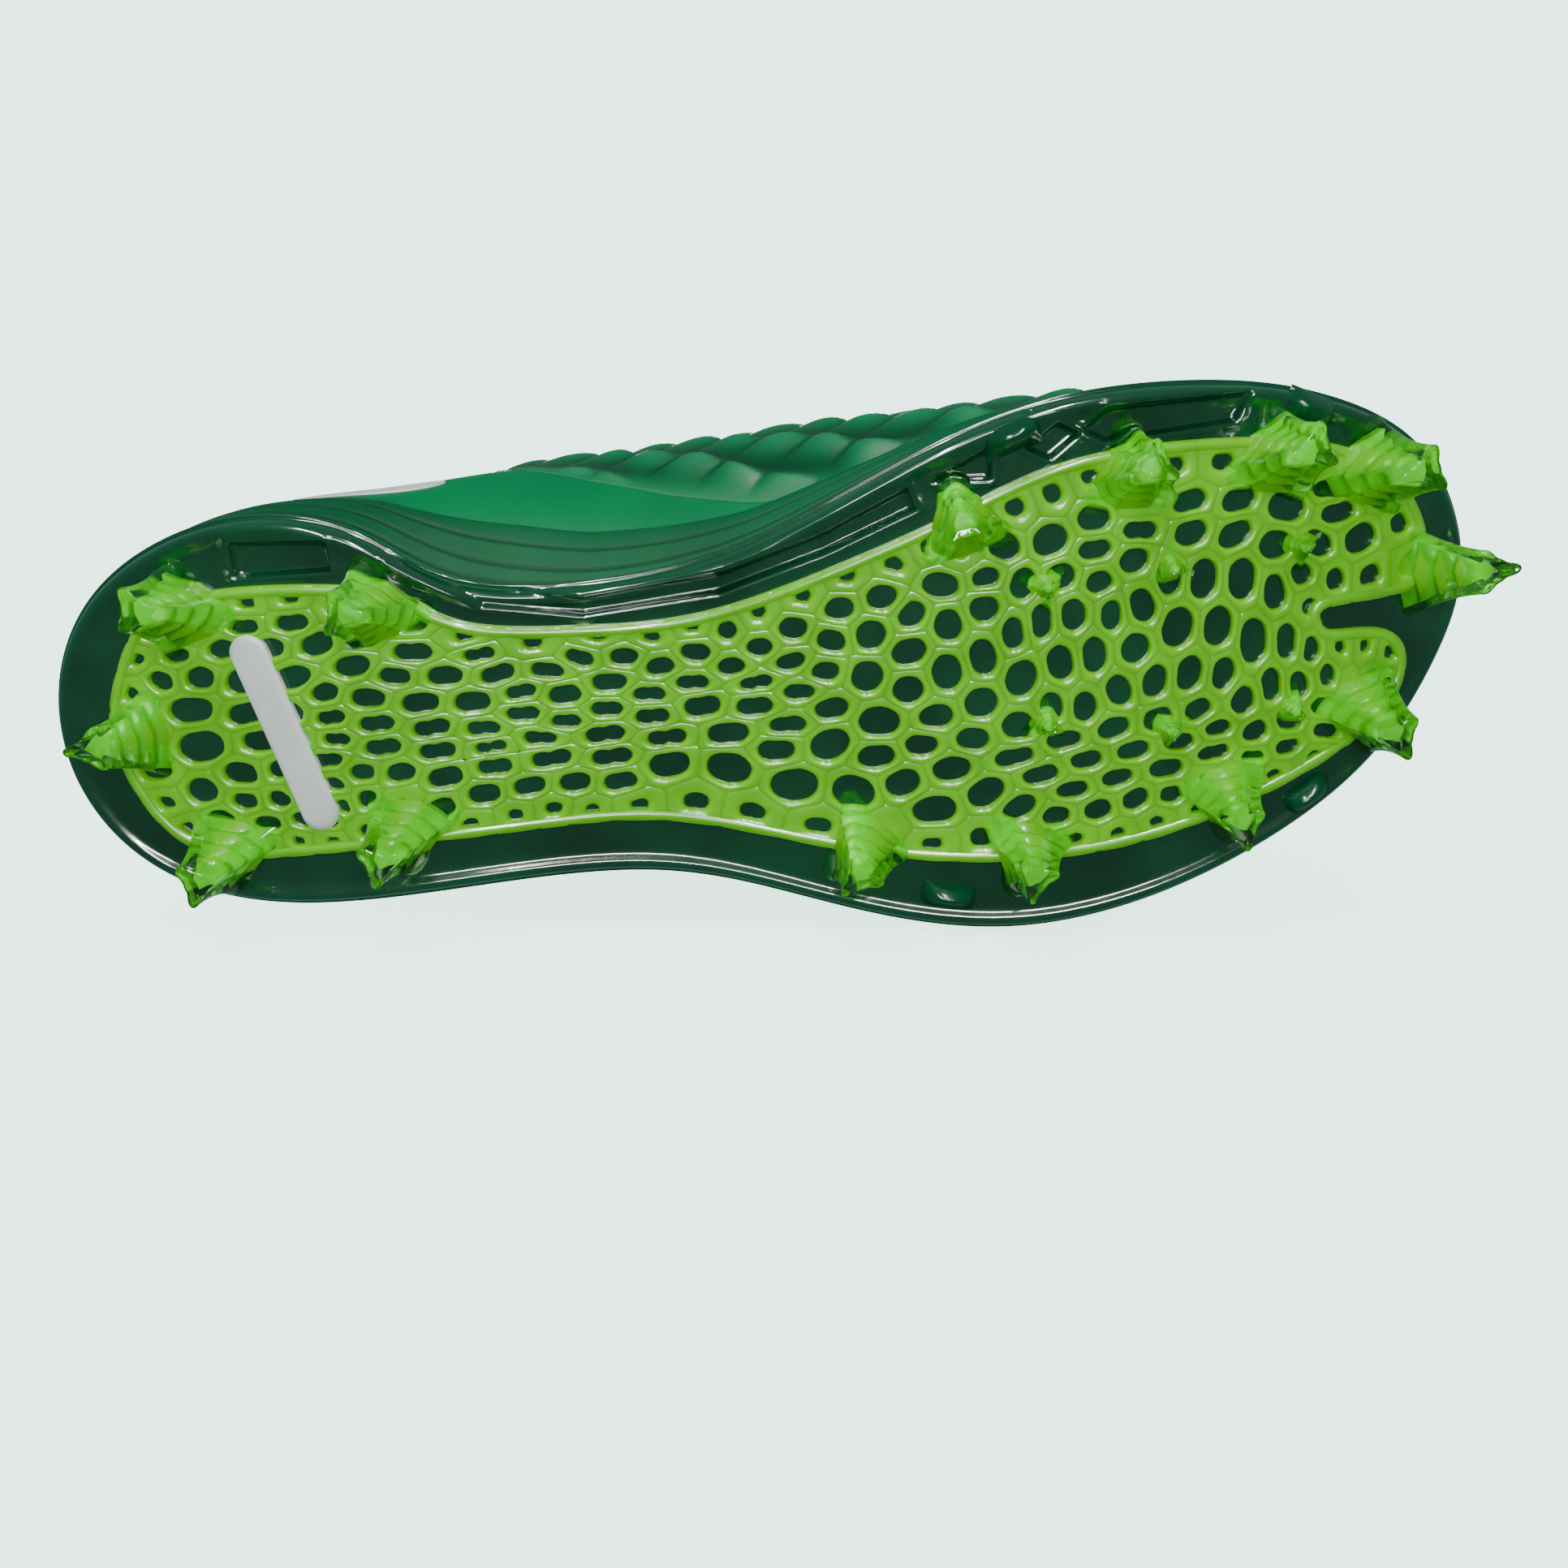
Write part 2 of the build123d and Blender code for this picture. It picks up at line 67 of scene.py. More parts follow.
# Outline of the lattice insert: heel, waist, ball and two toe lobes round a slot.
WEB_EDGE = [(11, 1), (14, -11), (22, -22.5), (34, -27), (52, -26.5), (72, -22.5), (86, -14.5),
            (108, -10.6), (135, -10.3), (165, -17.3), (186, -24), (208, -31), (236, -32),
            (262, -28), (278, -18), (284, -5), (281, 3.2), (262, 4), (259, 6.8), (262, 9.5),
            (274, 11.5), (278, 20), (270, 30.5), (248, 40.5), (216, 48), (182, 47.5),
            (152, 41), (122, 32.3), (90, 30), (50, 29), (26, 26.5), (15, 16)]
# Height of the plate's underside along the boot.
SOLE_LINE = [(-15, 19), (3, 15.2), (35, 14), (70, 14.8), (110, 18.5), (150, 17),
             (190, 14), (225, 14.6), (255, 18.2), (280, 24.6), (300, 33)]
PLATE_THICKNESS = 3.6

# Widest line of the upper, seen from above, at the stations of the two edges.
WIDE_OUTER = [(-2.2, 0), (2, 19), (16, 34), (42, 41.5), (78, 43.5), (115, 47), (142, 53),
              (165, 59.5), (192, 63.5), (222, 60), (250, 50.3), (272, 37.5), (286.5, 20), (292.5, 0)]
WIDE_INNER = [(-2.2, 0), (2.5, -19), (17, -34.5), (42, -41.5), (67, -42), (86, -43), (112, -44.5),
              (147, -45.2), (181, -45.2), (210, -44.8), (240, -42.8), (263, -37), (284, -23), (292.5, 0)]
# Top line of the upper at the same stations: x, y, z and half width of the opening.
TOP_LINE = [(5, 0, 84, 0), (9, 0, 84, 15), (20, 0.5, 80, 25), (42, 1, 72, 30.5), (68, 2, 70.5, 30),
            (90, 3.5, 82, 25), (107, 4, 103, 16), (133, 5, 98, 12), (166, 6.5, 86, 8.6),
            (194, 7, 76.5, 5.4), (232, 6, 65.5, 0), (262, 2, 57.5, 0), (279, 0, 53, 0), (284, 0, 50.5, 0)]
# How far a rib of the upper has turned from a wall into an arch, and the heights of its
# two inner control points as shares of its height, at the same stations.
ARCH = [0, 0, 0, 0, 0, 0.1, 0.35, 0.6, 0.85, 1, 1, 1, 1, 1]
LOW_SHARE = [0.35, 0.35, 0.35, 0.35, 0.33, 0.3, 0.3, 0.35, 0.42, 0.5, 0.55, 0.55, 0.55, 0.55]
HIGH_SHARE = [0.75, 0.75, 0.75, 0.75, 0.75, 0.78, 0.85, 0.9, 0.95, 1, 1, 1, 1, 1]
# Stations from heel to toe and all the way round, and those where the throat closes.
STATIONS = 13
LOOP = 2 * STATIONS
THROAT_START, THROAT_END = 9, 9.35
# A cubic Bezier curve's weights halfway along it, for its end and its middle points.
END_WEIGHT, MIDDLE_WEIGHT = 0.125, 0.375
# How far a rib's foot stands in from the plate's edge, and how far its lower control point
# lies out towards the widest line and its upper one in towards the top line, as shares.
FOOT_INSET = 1.5
LOW_REACH, CURL_REACH = 1.35, 0.45
# How far the lower control points of the instep's inner side are pushed out, the station
# where that is most, and over how many stations it dies away.
INSTEP_BULGE, BULGE_STATION, BULGE_WIDTH = 8.0, 18.2, 1.2
# Places of the eyelets along the boot; sizes of the eyelets and of the rows of stitches.
EYELETS = [114 + 15.5 * k for k in range(6)]
EYELET_INSET, EYELET_RADIUS = 5.5, 2.1
STITCH_ROWS, STITCH_WIDTH, STITCH_PITCH = (1.8, 9.6), 0.35, 2.4

# Perimeter studs: node, base x, y, tip x, y and height of the tip.
STUDS = [("stud_heel_back", 17, -0.5, 12.5, -1, 0), ("stud_heel_inner", 33, -24, 28, -26.5, 0),
         ("stud_heel_outer", 31, 25.5, 27, 29, 0), ("stud_waist_inner", 70, -19.5, 67, -21, 0),
         ("stud_waist_outer", 68, 26, 64, 29.5, 0), ("stud_ball_inner_1", 188, -22, 186.5, -23.5, 0),
         ("stud_ball_inner_2", 221, -27, 223, -29.5, 0), ("stud_ball_inner_3", 249, -26.5, 252.5, -29, 0),
         ("stud_ball_inner_4", 269, -21.5, 274, -22, 2.5), ("stud_ball_outer_4", 266.5, 26, 268.5, 29, 2.5),
         ("stud_ball_outer_3", 237, 40, 236.5, 43, 0), ("stud_ball_outer_2", 195, 46.5, 194.5, 49, 0),
         ("stud_ball_outer_1", 161.5, 41.5, 159.5, 44, 0)]
TOE_STUD = ("stud_toe", 283, 0, 291.5, 0, 12)
GRIP_STUDS = [(203, -8), (228, -8.5), (255, -9), (201, 20), (226, 24.5), (252, 24)]
FINS = [("rim_fin_outer_back", 178, 55.3, 12, 14), ("rim_fin_outer_front", 255.5, 43.2, 11, -28),
        ("rim_fin_inner_back", 199, -37.6, 12, -16), ("rim_fin_inner_front", 258.5, -35.2, 11, 26)]
# Pockets sunk into the inner rim, each an outline seen from below.
POCKETS = [[(43, -36), (62, -34), (62, -28.5), (43, -29.5)],
           [(74, -29), (86, -22.5), (110, -16.5), (140, -18), (160, -23), (178, -30), (179, -26),
            (160, -19.5), (138, -14), (110, -13), (90, -17.5)],
           [(183, -31), (195, -36), (194, -30)],
           [(201.5, -35), (208, -38.8), (212, -36.5), (206, -32.5)],
           [(213, -37), (218, -40.5), (246, -40), (243, -35), (217, -34.5)]]
# How far in from the edge pockets may reach, how deep they are and how high their lips are.
POCKET_REACH, POCKET_DEPTH, POCKET_LIP = 17, 1.7, 0.35
# Wanted size of the lattice's cells: place, length and width.
CELL_ANCHORS = [(24, 2, 14, 9), (38, -8, 12, 8), (24, 20, 9, 6), (30, -20, 7, 5), (54, 0, 6, 5),
                (52, 20, 5, 5), (50, -20, 7, 4.5), (70, 5, 12, 5), (72, 22, 10, 7), (90, -4, 9, 5),
                (95, 5, 11, 4), (95, 18, 13, 5), (100, 27, 9, 5), (120, -4, 9, 5.5), (120, 6, 10, 3.6),
                (118, 18, 11, 5), (128, 26, 12, 10), (150, -6, 9, 8), (150, 5, 9, 4), (148, 15, 10, 4),
                (150, 29, 14, 11), (168, -9, 9, 8), (172, 7, 10, 10), (172, 22, 9, 5), (176, 36, 11, 8),
                (190, 5, 9, 13), (188, -13, 8, 6), (205, -22, 8, 9), (215, -17, 8, 4), (236, -17, 8, 4),
                (213, 8, 10, 15), (240, 6, 9.5, 17), (228, -6, 9, 12), (258, 16, 8, 13), (235, -26, 8, 8),
                (262, -18, 7, 5), (272, -4, 9, 9), (262, -2, 7, 7), (205, 29, 9, 4), (232, 32, 8, 4),
                (256, 30, 8, 5), (190, 41, 9, 7), (215, 40, 8, 6), (236, 38, 7, 6), (271, 18, 7, 9)]


# ------------------------------------------------------------------ settings
class BootSettings(bpy.types.PropertyGroup):
    """Sizes and colours of the boot's pieces."""
    strut_height: FloatProperty(
        name="Strut height", description="How far the lattice stands out, in millimetres", default=1.7)
    strut_width: FloatProperty(
        name="Strut width", description="Least width of a strut, in millimetres", default=2.7)
    relief_depth: FloatProperty(
        name="Relief depth", description="Depth of the vamp's quilted scales, in millimetres", default=1.9)
    cell_angles: IntProperty(
        name="Cell angles", description="Points around each hole of the lattice", default=36, min=12)
    lime: FloatVectorProperty(
        name="Lime", description="Colour of the lattice", subtype="COLOR", default=(0.155, 0.60, 0.0))
    plate_green: FloatVectorProperty(
        name="Plate green", description="Colour of the plate", subtype="COLOR", default=(0.0, 0.038, 0.013))
    clear_green: FloatVectorProperty(
        name="Clear green", description="Colour of the stud shells", subtype="COLOR",
        default=(0.50, 0.93, 0.40))
    rand_green: FloatVectorProperty(
        name="Rand green", description="Colour of the rand", subtype="COLOR", default=(0.0, 0.105, 0.036))
    band_green: FloatVectorProperty(
        name="Band green", description="Colour of the quarters", subtype="COLOR", default=(0.0, 0.19, 0.06))
    vamp_green: FloatVectorProperty(
        name="Vamp green", description="Colour of the vamp", subtype="COLOR", default=(0.001, 0.165, 0.055))
    lining_green: FloatVectorProperty(
        name="Lining green", description="Colour of the lining", subtype="COLOR", default=(0.0, 0.05, 0.02))
    key_power: FloatProperty(
        name="Key power", description="Power of the main softbox, in watts", default=3.2)


# ------------------------------------------------------------------ curves
def spline_value(values, at, closed):
    """Cubic spline with even knots through values, read at the places at.

    The second slopes come from the usual three-term equations, and a stretch
    between knots is the cubic that meets the values and second slopes at both
    its ends.  Closed splines wrap round; open ones end straight."""
    p = np.asarray(values, float).reshape(len(values), -1)
    n = len(p)
    i = np.arange(n)
    a = np.zeros((n, n))
    a[i, i] = 4
    a[i, (i + 1) % n] += 1
    a[i, (i - 1) % n] += 1
    right = 6 * (np.roll(p, -1, 0) - 2 * p + np.roll(p, 1, 0))
    if not closed:
        a[0], a[-1] = 0, 0
        a[0, 0] = a[-1, -1] = 1
        right[0] = right[-1] = 0
    m = np.linalg.solve(a, right)
    at = np.asarray(at, float)
    at = at % n if closed else np.clip(at, 0, n - 1)
    k = np.minimum(np.floor(at).astype(int), n - 1 if closed else n - 2)
    s = (at - k)[..., None]
    j = (k + 1) % n
    return (m[k] * (1 - s) ** 3 + m[j] * s ** 3) / 6 + (p[k] - m[k] / 6) * (1 - s) + (p[j] - m[j] / 6) * s


def closed_outline(points, count):
    """Evenly spaced points along the smooth closed curve through points."""
    fine = spline_value(points, np.linspace(0, len(points), 4000, endpoint=False), True)
    step = np.linalg.norm(np.roll(fine, -1, 0) - fine, axis=1)
    run = np.concatenate([[0], np.cumsum(step)])
    fine = np.vstack([fine, fine[:1]])
    want = np.linspace(0, run[-1], count, endpoint=False)
    return np.stack([np.interp(want, run, fine[:, k]) for k in range(2)], 1)


SOLE_X = np.linspace(-14, 299, 600)
SOLE_Z = np.interp(SOLE_X, *spline_value(SOLE_LINE, np.linspace(0, len(SOLE_LINE) - 1, 2000), False).T)


def sole_height(x):
    """Height of the plate's underside at x, from a smooth curve through SOLE_LINE."""
    return np.interp(x, SOLE_X, SOLE_Z)


def inside(p, edge):
    """True for the points p that lie within the closed polygon edge."""
    q, r = edge, np.roll(edge, -1, 0)
    crosses = (q[:, 1] > p[:, None, 1]) != (r[:, 1] > p[:, None, 1])
    rise = np.where(r[:, 1] == q[:, 1], 1e-9, r[:, 1] - q[:, 1])
    at = q[:, 0] + (p[:, None, 1] - q[:, 1]) * (r[:, 0] - q[:, 0]) / rise
    return (crosses & (p[:, None, 0] < at)).sum(1) % 2 == 1


def edge_distance(p, edge):
    """Signed distance from the points p to a closed polygon, positive inside."""
    a, b = edge, np.roll(edge, -1, 0)
    ab = b - a
    best = np.full(len(p), 1e9)
    for k in range(0, len(p), 20000):
        q = p[k:k + 20000, None]
        share = np.clip(((q - a) * ab).sum(-1) / np.maximum((ab * ab).sum(-1), 1e-12), 0, 1)
        best[k:k + 20000] = np.linalg.norm(q - a - share[..., None] * ab, axis=-1).min(1)
    return np.where(inside(p, edge), best, -best)


def outward_of(edge):
    """Unit normals that point out of a closed outline."""
    tangent = np.roll(edge, -1, 0) - np.roll(edge, 1, 0)
    outward = np.stack([tangent[:, 1], -tangent[:, 0]], 1)
    outward /= np.linalg.norm(outward, axis=1, keepdims=True)
    return -outward if inside(edge[:1] + outward[:1], edge)[0] else outward


def with_height(flat, z):
    """Points x, y, z from points x, y and their heights."""
    return np.concatenate([flat, z[..., None]], -1)


def bell(x, middle, width):
    """1 at the middle, falling off as a Gaussian of this width."""
    return np.exp(-((x - middle) / width) ** 2)


def smoothstep(low, high, x):
    """0 below low, 1 above high and a smooth turn between."""
    s = np.clip((x - low) / (high - low), 0, 1)
    return s * s * (3 - 2 * s)


def folded(t):
    """Stations counted from the heel on either side: 0 at the heel, 13 at the toe."""
    return np.minimum(t % LOOP, LOOP - t % LOOP)


def side_stations(low, high, count, side):
    """Evenly spaced stations on one side; the inner side, -1, mirrors the outer, 1."""
    return np.linspace(low, high, count) if side > 0 else np.linspace(LOOP - high, LOOP - low, count)


# ------------------------------------------------------------------ meshes
OUTLINE = closed_outline(OUTER_EDGE[:-1] + INNER_EDGE[:-1], 1400)
PLATE_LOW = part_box("outsole_plate")[0]
SHIFT = np.array([PLATE_LOW[0] * 1000 - OUTLINE[:, 0].min(), PLATE_LOW[1] * 1000 - OUTLINE[:, 1].min(), 0.0])


def to_frame(points):
    """Modelling millimetres to the frame's metres."""
    return (np.asarray(points, float) + SHIFT) / 1000


def make_mesh(name, vertices, faces, material, body="boot", slot=None, replaces=(), merge=0.0, values=None):
    """One object from an array of points and an array of faces, riding on a body."""
    mesh = bpy.data.meshes.new(name)
    faces = np.asarray(faces)
    mesh.vertices.add(len(vertices))
    mesh.vertices.foreach_set("co", to_frame(vertices).astype(np.float32).ravel())
    size = faces.shape[1]
    mesh.loops.add(faces.size)
    mesh.loops.foreach_set("vertex_index", faces.astype(np.int32).ravel())
    mesh.polygons.add(len(faces))
    mesh.polygons.foreach_set("loop_start", np.arange(0, faces.size, size, dtype=np.int32))
    for key, data in (values or {}).items():
        layer = mesh.attributes.new(key, "FLOAT", "POINT")
        layer.data.foreach_set("value", np.asarray(data, np.float32).ravel())
    mesh.update(calc_edges=True)
    mesh.validate()
    mesh.shade_smooth()
    piece = bpy.data.objects.new(name, mesh)
    bpy.context.scene.collection.objects.link(piece)
    if merge:
        weld = piece.modifiers.new("Weld", "WELD")
        weld.merge_threshold = merge / 1000
    mesh.materials.append(material)
    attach(piece, body)
    if replaces:
        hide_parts(*replaces)
    return piece


def grid_faces(rows, columns, wrap_rows=False, wrap_columns=False, flip=False):
    """Quads between the points of a grid, numbered row by row."""
    i = np.arange(rows if wrap_rows else rows - 1)
    j = np.arange(columns if wrap_columns else columns - 1)
    i, j = [a.ravel() for a in np.meshgrid(i, j, indexing="ij")]
    down, right = (i + 1) % rows, (j + 1) % columns
    quads = [i * columns + j, i * columns + right, down * columns + right, down * columns + j]
    return np.stack(quads[::-1] if flip else quads, 1)


def grid_piece(name, points, material, wrap_rows=False, wrap_columns=False, flip=False, **more):
    """One object from a grid of points of shape (rows, columns, 3)."""
    rows, columns = points.shape[:2]
    faces = grid_faces(rows, columns, wrap_rows, wrap_columns, flip)
    return make_mesh(name, points.reshape(-1, 3), faces, material, **more)


# ------------------------------------------------------------------ materials
def math_method(operation, swap=False):
    """A method that makes one Math node, with its inputs in turned order if swap is set."""
    def method(self, *others):
        """One Math node of these values."""
        values = [self, *others]
        return self.shader.node("ShaderNodeMath", {"operation": operation}, values[::-1] if swap else values)
    return method


class Value:
    """A node's output that expressions can add, multiply, take away and take the sine of."""
    __add__ = __radd__ = math_method("ADD")
    __mul__ = __rmul__ = math_method("MULTIPLY")
    __rsub__ = math_method("SUBTRACT", swap=True)
    sine = math_method("SINE")

    def __init__(self, shader, socket):
        self.shader = shader
        self.socket = socket

    def within(self, low, high):
        """0 at low, 1 at high, smooth between."""
        settings = {"interpolation_type": "SMOOTHSTEP"}
        inputs = {"Value": self, "From Min": low, "From Max": high}
        return self.shader.node("ShaderNodeMapRange", settings, inputs)


class Shader:
    """A node material written as expressions."""

    def __init__(self, name):
        self.material = bpy.data.materials.new(name)
        self.material.use_nodes = True
        self.tree = self.material.node_tree
        self.tree.nodes.clear()
        self.output = self.tree.nodes.new("ShaderNodeOutputMaterial")

    def node(self, kind, settings=None, inputs=None, out=0):
        """One node: its type, then its settings, then its inputs."""
        made = self.tree.nodes.new(kind)
        for key, value in (settings or {}).items():
            setattr(made, key, value)
        items = inputs.items() if isinstance(inputs, dict) else enumerate(inputs or [])
        for key, value in items:
            self.connect(made.inputs[key], value)
        return Value(self, made.outputs[out])

    def connect(self, socket, value):
        """Link a value to a socket, or set the socket to a constant."""
        if isinstance(value, Value):
            self.tree.links.new(value.socket, socket)
        elif hasattr(value, "__len__") and len(value) == 3 and socket.type == "RGBA":
            socket.default_value = (*value, 1.0)
        else:
            socket.default_value = value

    def place(self, scale=1.0):
        """Object coordinates in millimetres, scaled."""
        where = self.node("ShaderNodeTexCoord", out="Object")
        return self.node("ShaderNodeMapping", {}, {"Vector": where, "Scale": [1000 * scale] * 3})

    def noise(self, size, detail=2.0, roughness=0.5):
        """Smooth noise whose spots are about size millimetres across."""
        inputs = {"Vector": self.place(1 / size), "Scale": 1.0, "Detail": detail, "Roughness": roughness}
        return self.node("ShaderNodeTexNoise", {}, inputs)

    def clouded(self, colour, size, low, high, darkest, lightest, detail=2.0):
        """A colour that drifts between a darker and a lighter shade of itself."""
        drift = self.noise(size, detail).within(low, high)
        return self.mix(drift, shade(colour, darkest), shade(colour, lightest))

    def mix(self, share, low, high):
        """A colour between low and high."""
        made = self.tree.nodes.new("ShaderNodeMix")
        made.data_type = "RGBA"
        self.connect(made.inputs[0], share)
        self.connect(made.inputs[6], low)
        self.connect(made.inputs[7], high)
        return Value(self, made.outputs[2])

    def attribute(self, name):
        """A number kept at the mesh's points."""
        return self.node("ShaderNodeAttribute", {"attribute_name": name}, out="Fac")

    def bump(self, height, distance_mm, strength=1.0):
        """A normal tilted by a height of about distance_mm."""
        inputs = {"Height": height, "Distance": distance_mm / 1000, "Strength": strength}
        return self.node("ShaderNodeBump", {}, inputs)

    def surface(self, **inputs):
        """Finish with one Principled shader; names use _ for a space."""
        fixed = {key.replace("_", " "): value for key, value in inputs.items()}
        made = self.node("ShaderNodeBsdfPrincipled", {}, fixed)
        self.tree.links.new(made.socket, self.output.inputs["Surface"])
        return self.material


def shade(colour, factor):
    """A colour made lighter or darker."""
    return tuple(min(1.0, c * factor) for c in colour)


def lime_material(s):
    """Glossy lime plastic, with a painted highlight of paler lime along the struts' shoulders."""
    m = Shader("lime_tpu")
    colour = m.clouded(s.lime, 9.0, 0.3, 0.7, 0.86, 1.1)
    # Painted highlight: paler lime mixed in along the struts' shoulders.
    colour = m.mix(m.attribute("ridge_highlight") * 0.5, colour, (0.27, 0.80, 0.005))
    return m.surface(Base_Color=colour, Roughness=0.16 + 0.12 * m.noise(2.0),
                     Subsurface_Weight=0.25, Subsurface_Radius=(0.004, 0.004, 0.001), Subsurface_Scale=0.6,
                     Coat_Weight=0.6, Coat_Roughness=0.06, Normal=m.bump(m.noise(3.0), 0.06))


def plate_material(s):
    """Deep green glossy plastic, a little lighter where it is thin."""
    m = Shader("green_tpu")
    colour = m.clouded(s.plate_green, 22.0, 0.35, 0.7, 0.8, 1.5, 3.0)
    colour = m.mix(m.attribute("thin"), colour, (0.0, 0.13, 0.05))
    return m.surface(Base_Color=colour, Roughness=0.10 + 0.08 * m.noise(4.0), IOR=1.5,
                     Coat_Weight=0.8, Coat_Roughness=0.03, Normal=m.bump(m.noise(6.0), 0.05))


def shell_material(s):
    """Clear green moulded plastic of the studs."""
    m = Shader("clear_green_tpu")
    colour = m.clouded(s.clear_green, 3.0, 0.35, 0.65, 0.85, 1.15, 3.0)
    return m.surface(Base_Color=colour, Roughness=0.02 + 0.03 * m.noise(1.5), IOR=1.36,
                     Transmission_Weight=1.0, Coat_Weight=0.2, Coat_Roughness=0.02,
                     Normal=m.bump(m.noise(2.5), 0.08))


def rand_material(s):
    """Matte moulded skin of the rand, with a fine grain, and painted shade darkening its grooves."""
    m = Shader("rand_skin")
    colour = m.clouded(s.rand_green, 30.0, 0.3, 0.7, 0.85, 1.15, 3.0)
    # Painted shade: the grooves are darkened to a quarter of the rand's green.
    colour = m.mix(m.attribute("groove_shade"), colour, shade(s.rand_green, 0.25))
    return m.surface(Base_Color=colour, Roughness=0.55 + 0.1 * m.noise(1.0), Specular_IOR_Level=0.1,
                     Normal=m.bump(m.noise(0.45, 2.0), 0.05))


def band_material(s):
    """Smooth satin skin of the quarters, with painted shade: nearly black in the eyelets and darker along
    the sunk stitches.
    """
    m = Shader("quarter_skin")
    colour = m.clouded(s.band_green, 40.0, 0.3, 0.7, 0.9, 1.12)
    # Painted shade: the eyelets are filled with near black, standing in for the dark holes.
    colour = m.mix(m.attribute("hole"), colour, (0.0, 0.004, 0.002))
    # Painted shade along the sunk rows of stitches.
    colour = m.mix(m.attribute("groove_shade"), colour, shade(s.band_green, 0.5))
    return m.surface(Base_Color=colour, Roughness=0.4 + 0.1 * m.noise(0.8), Specular_IOR_Level=0.1,
                     Normal=m.bump(m.noise(0.35, 2.0), 0.035))


def vamp_material(s):
    """Embossed skin: satin on the crests and glossy in the hollows, with painted light on the crests and
    painted shade in the hollows.
    """
    m = Shader("vamp_skin")
    crest = m.attribute("crest")
    # Painted light and shade: lit and shaded copies of the vamp green, lighter on the crests, darker in the
    # hollows.
    colour = m.mix(crest, shade(s.vamp_green, 0.3), shade(s.vamp_green, 1.3))
    return m.surface(Base_Color=colour, Roughness=0.14 + 0.34 * crest, Specular_IOR_Level=0.4,
                     Normal=m.bump(m.noise(0.5, 2.0), 0.03))


def knit_material(name, colour, pitch=1.1):
    """A fine knit: two crossing waves of loops."""
    m = Shader(name)
    apart = m.node("ShaderNodeSeparateXYZ", {}, [m.place()]).socket.node
    x, y, z = [Value(m, output) for output in apart.outputs]
    turns = 6.283 / pitch
    loops = ((x + z * 0.4) * turns).sine() * ((z + y) * turns).sine()
    mixed = m.mix(m.noise(12.0), shade(colour, 0.75), shade(colour, 1.35))
    mixed = m.mix(loops.within(-0.2, 0.9), shade(colour, 0.55), mixed)
    return m.surface(Base_Color=mixed, Roughness=0.85, Sheen_Weight=0.35, Normal=m.bump(loops, 0.18))


def plain_material(name, colour, roughness):
    """A plain moulded or printed finish with a fine grain."""
    m = Shader(name)
    mixed = m.mix(m.noise(8.0), shade(colour, 0.92), shade(colour, 1.04))
    return m.surface(Base_Color=mixed, Roughness=roughness + 0.08 * m.noise(1.2),
                     Normal=m.bump(m.noise(0.6), 0.03))


MAKERS = {
    "lime": lime_material,
    "plate": plate_material,
    "shell": shell_material,
    "rand": rand_material,
    "band": band_material,
    "vamp": vamp_material,
    "fin": lambda s: plain_material("fin_tpu", (0.0, 0.06, 0.022), 0.1),
    "white": lambda s: plain_material("white_print", (0.78, 0.8, 0.8), 0.35),
    "board": lambda s: plain_material("board_felt", (0.6, 0.58, 0.52), 0.9),
    "lining": lambda s: knit_material("lining_mesh", s.lining_green),
    "tongue": lambda s: knit_material("tongue_skin", shade(s.vamp_green, 0.9), 1.6),
    "liner": lambda s: knit_material("sockliner_cloth", shade(s.lining_green, 1.1), 1.4)}
MATERIALS = {}


def material(key):
    """The boot's materials, each made once."""
    if key not in MATERIALS:
        MATERIALS[key] = MAKERS[key](bpy.context.scene.boot_settings)
    return MATERIALS[key]


# ------------------------------------------------------------------ the upper's form
NORMAL_STEP = 0.02
BOOT_MIDDLE = np.array([140.0, 4.0, 45.0])


def loop_table(outer, inner):
    """One table round the boot: out along the outer side, back along the inner."""
    return np.array(list(outer) + list(inner)[-2:0:-1], float)


FOOT_LOOP = loop_table(OUTER_EDGE, INNER_EDGE[::-1])
WIDE_LOOP = loop_table(WIDE_OUTER, WIDE_INNER)
TOP_LOOP = loop_table([t[:3] for t in TOP_LINE], [t[:3] for t in TOP_LINE])
GAP_LOOP = loop_table([(t[3],) for t in TOP_LINE], [(-t[3],) for t in TOP_LINE])
SHAPE_LOOP = loop_table(zip(ARCH, LOW_SHARE, HIGH_SHARE), list(zip(ARCH, LOW_SHARE, HIGH_SHARE)))


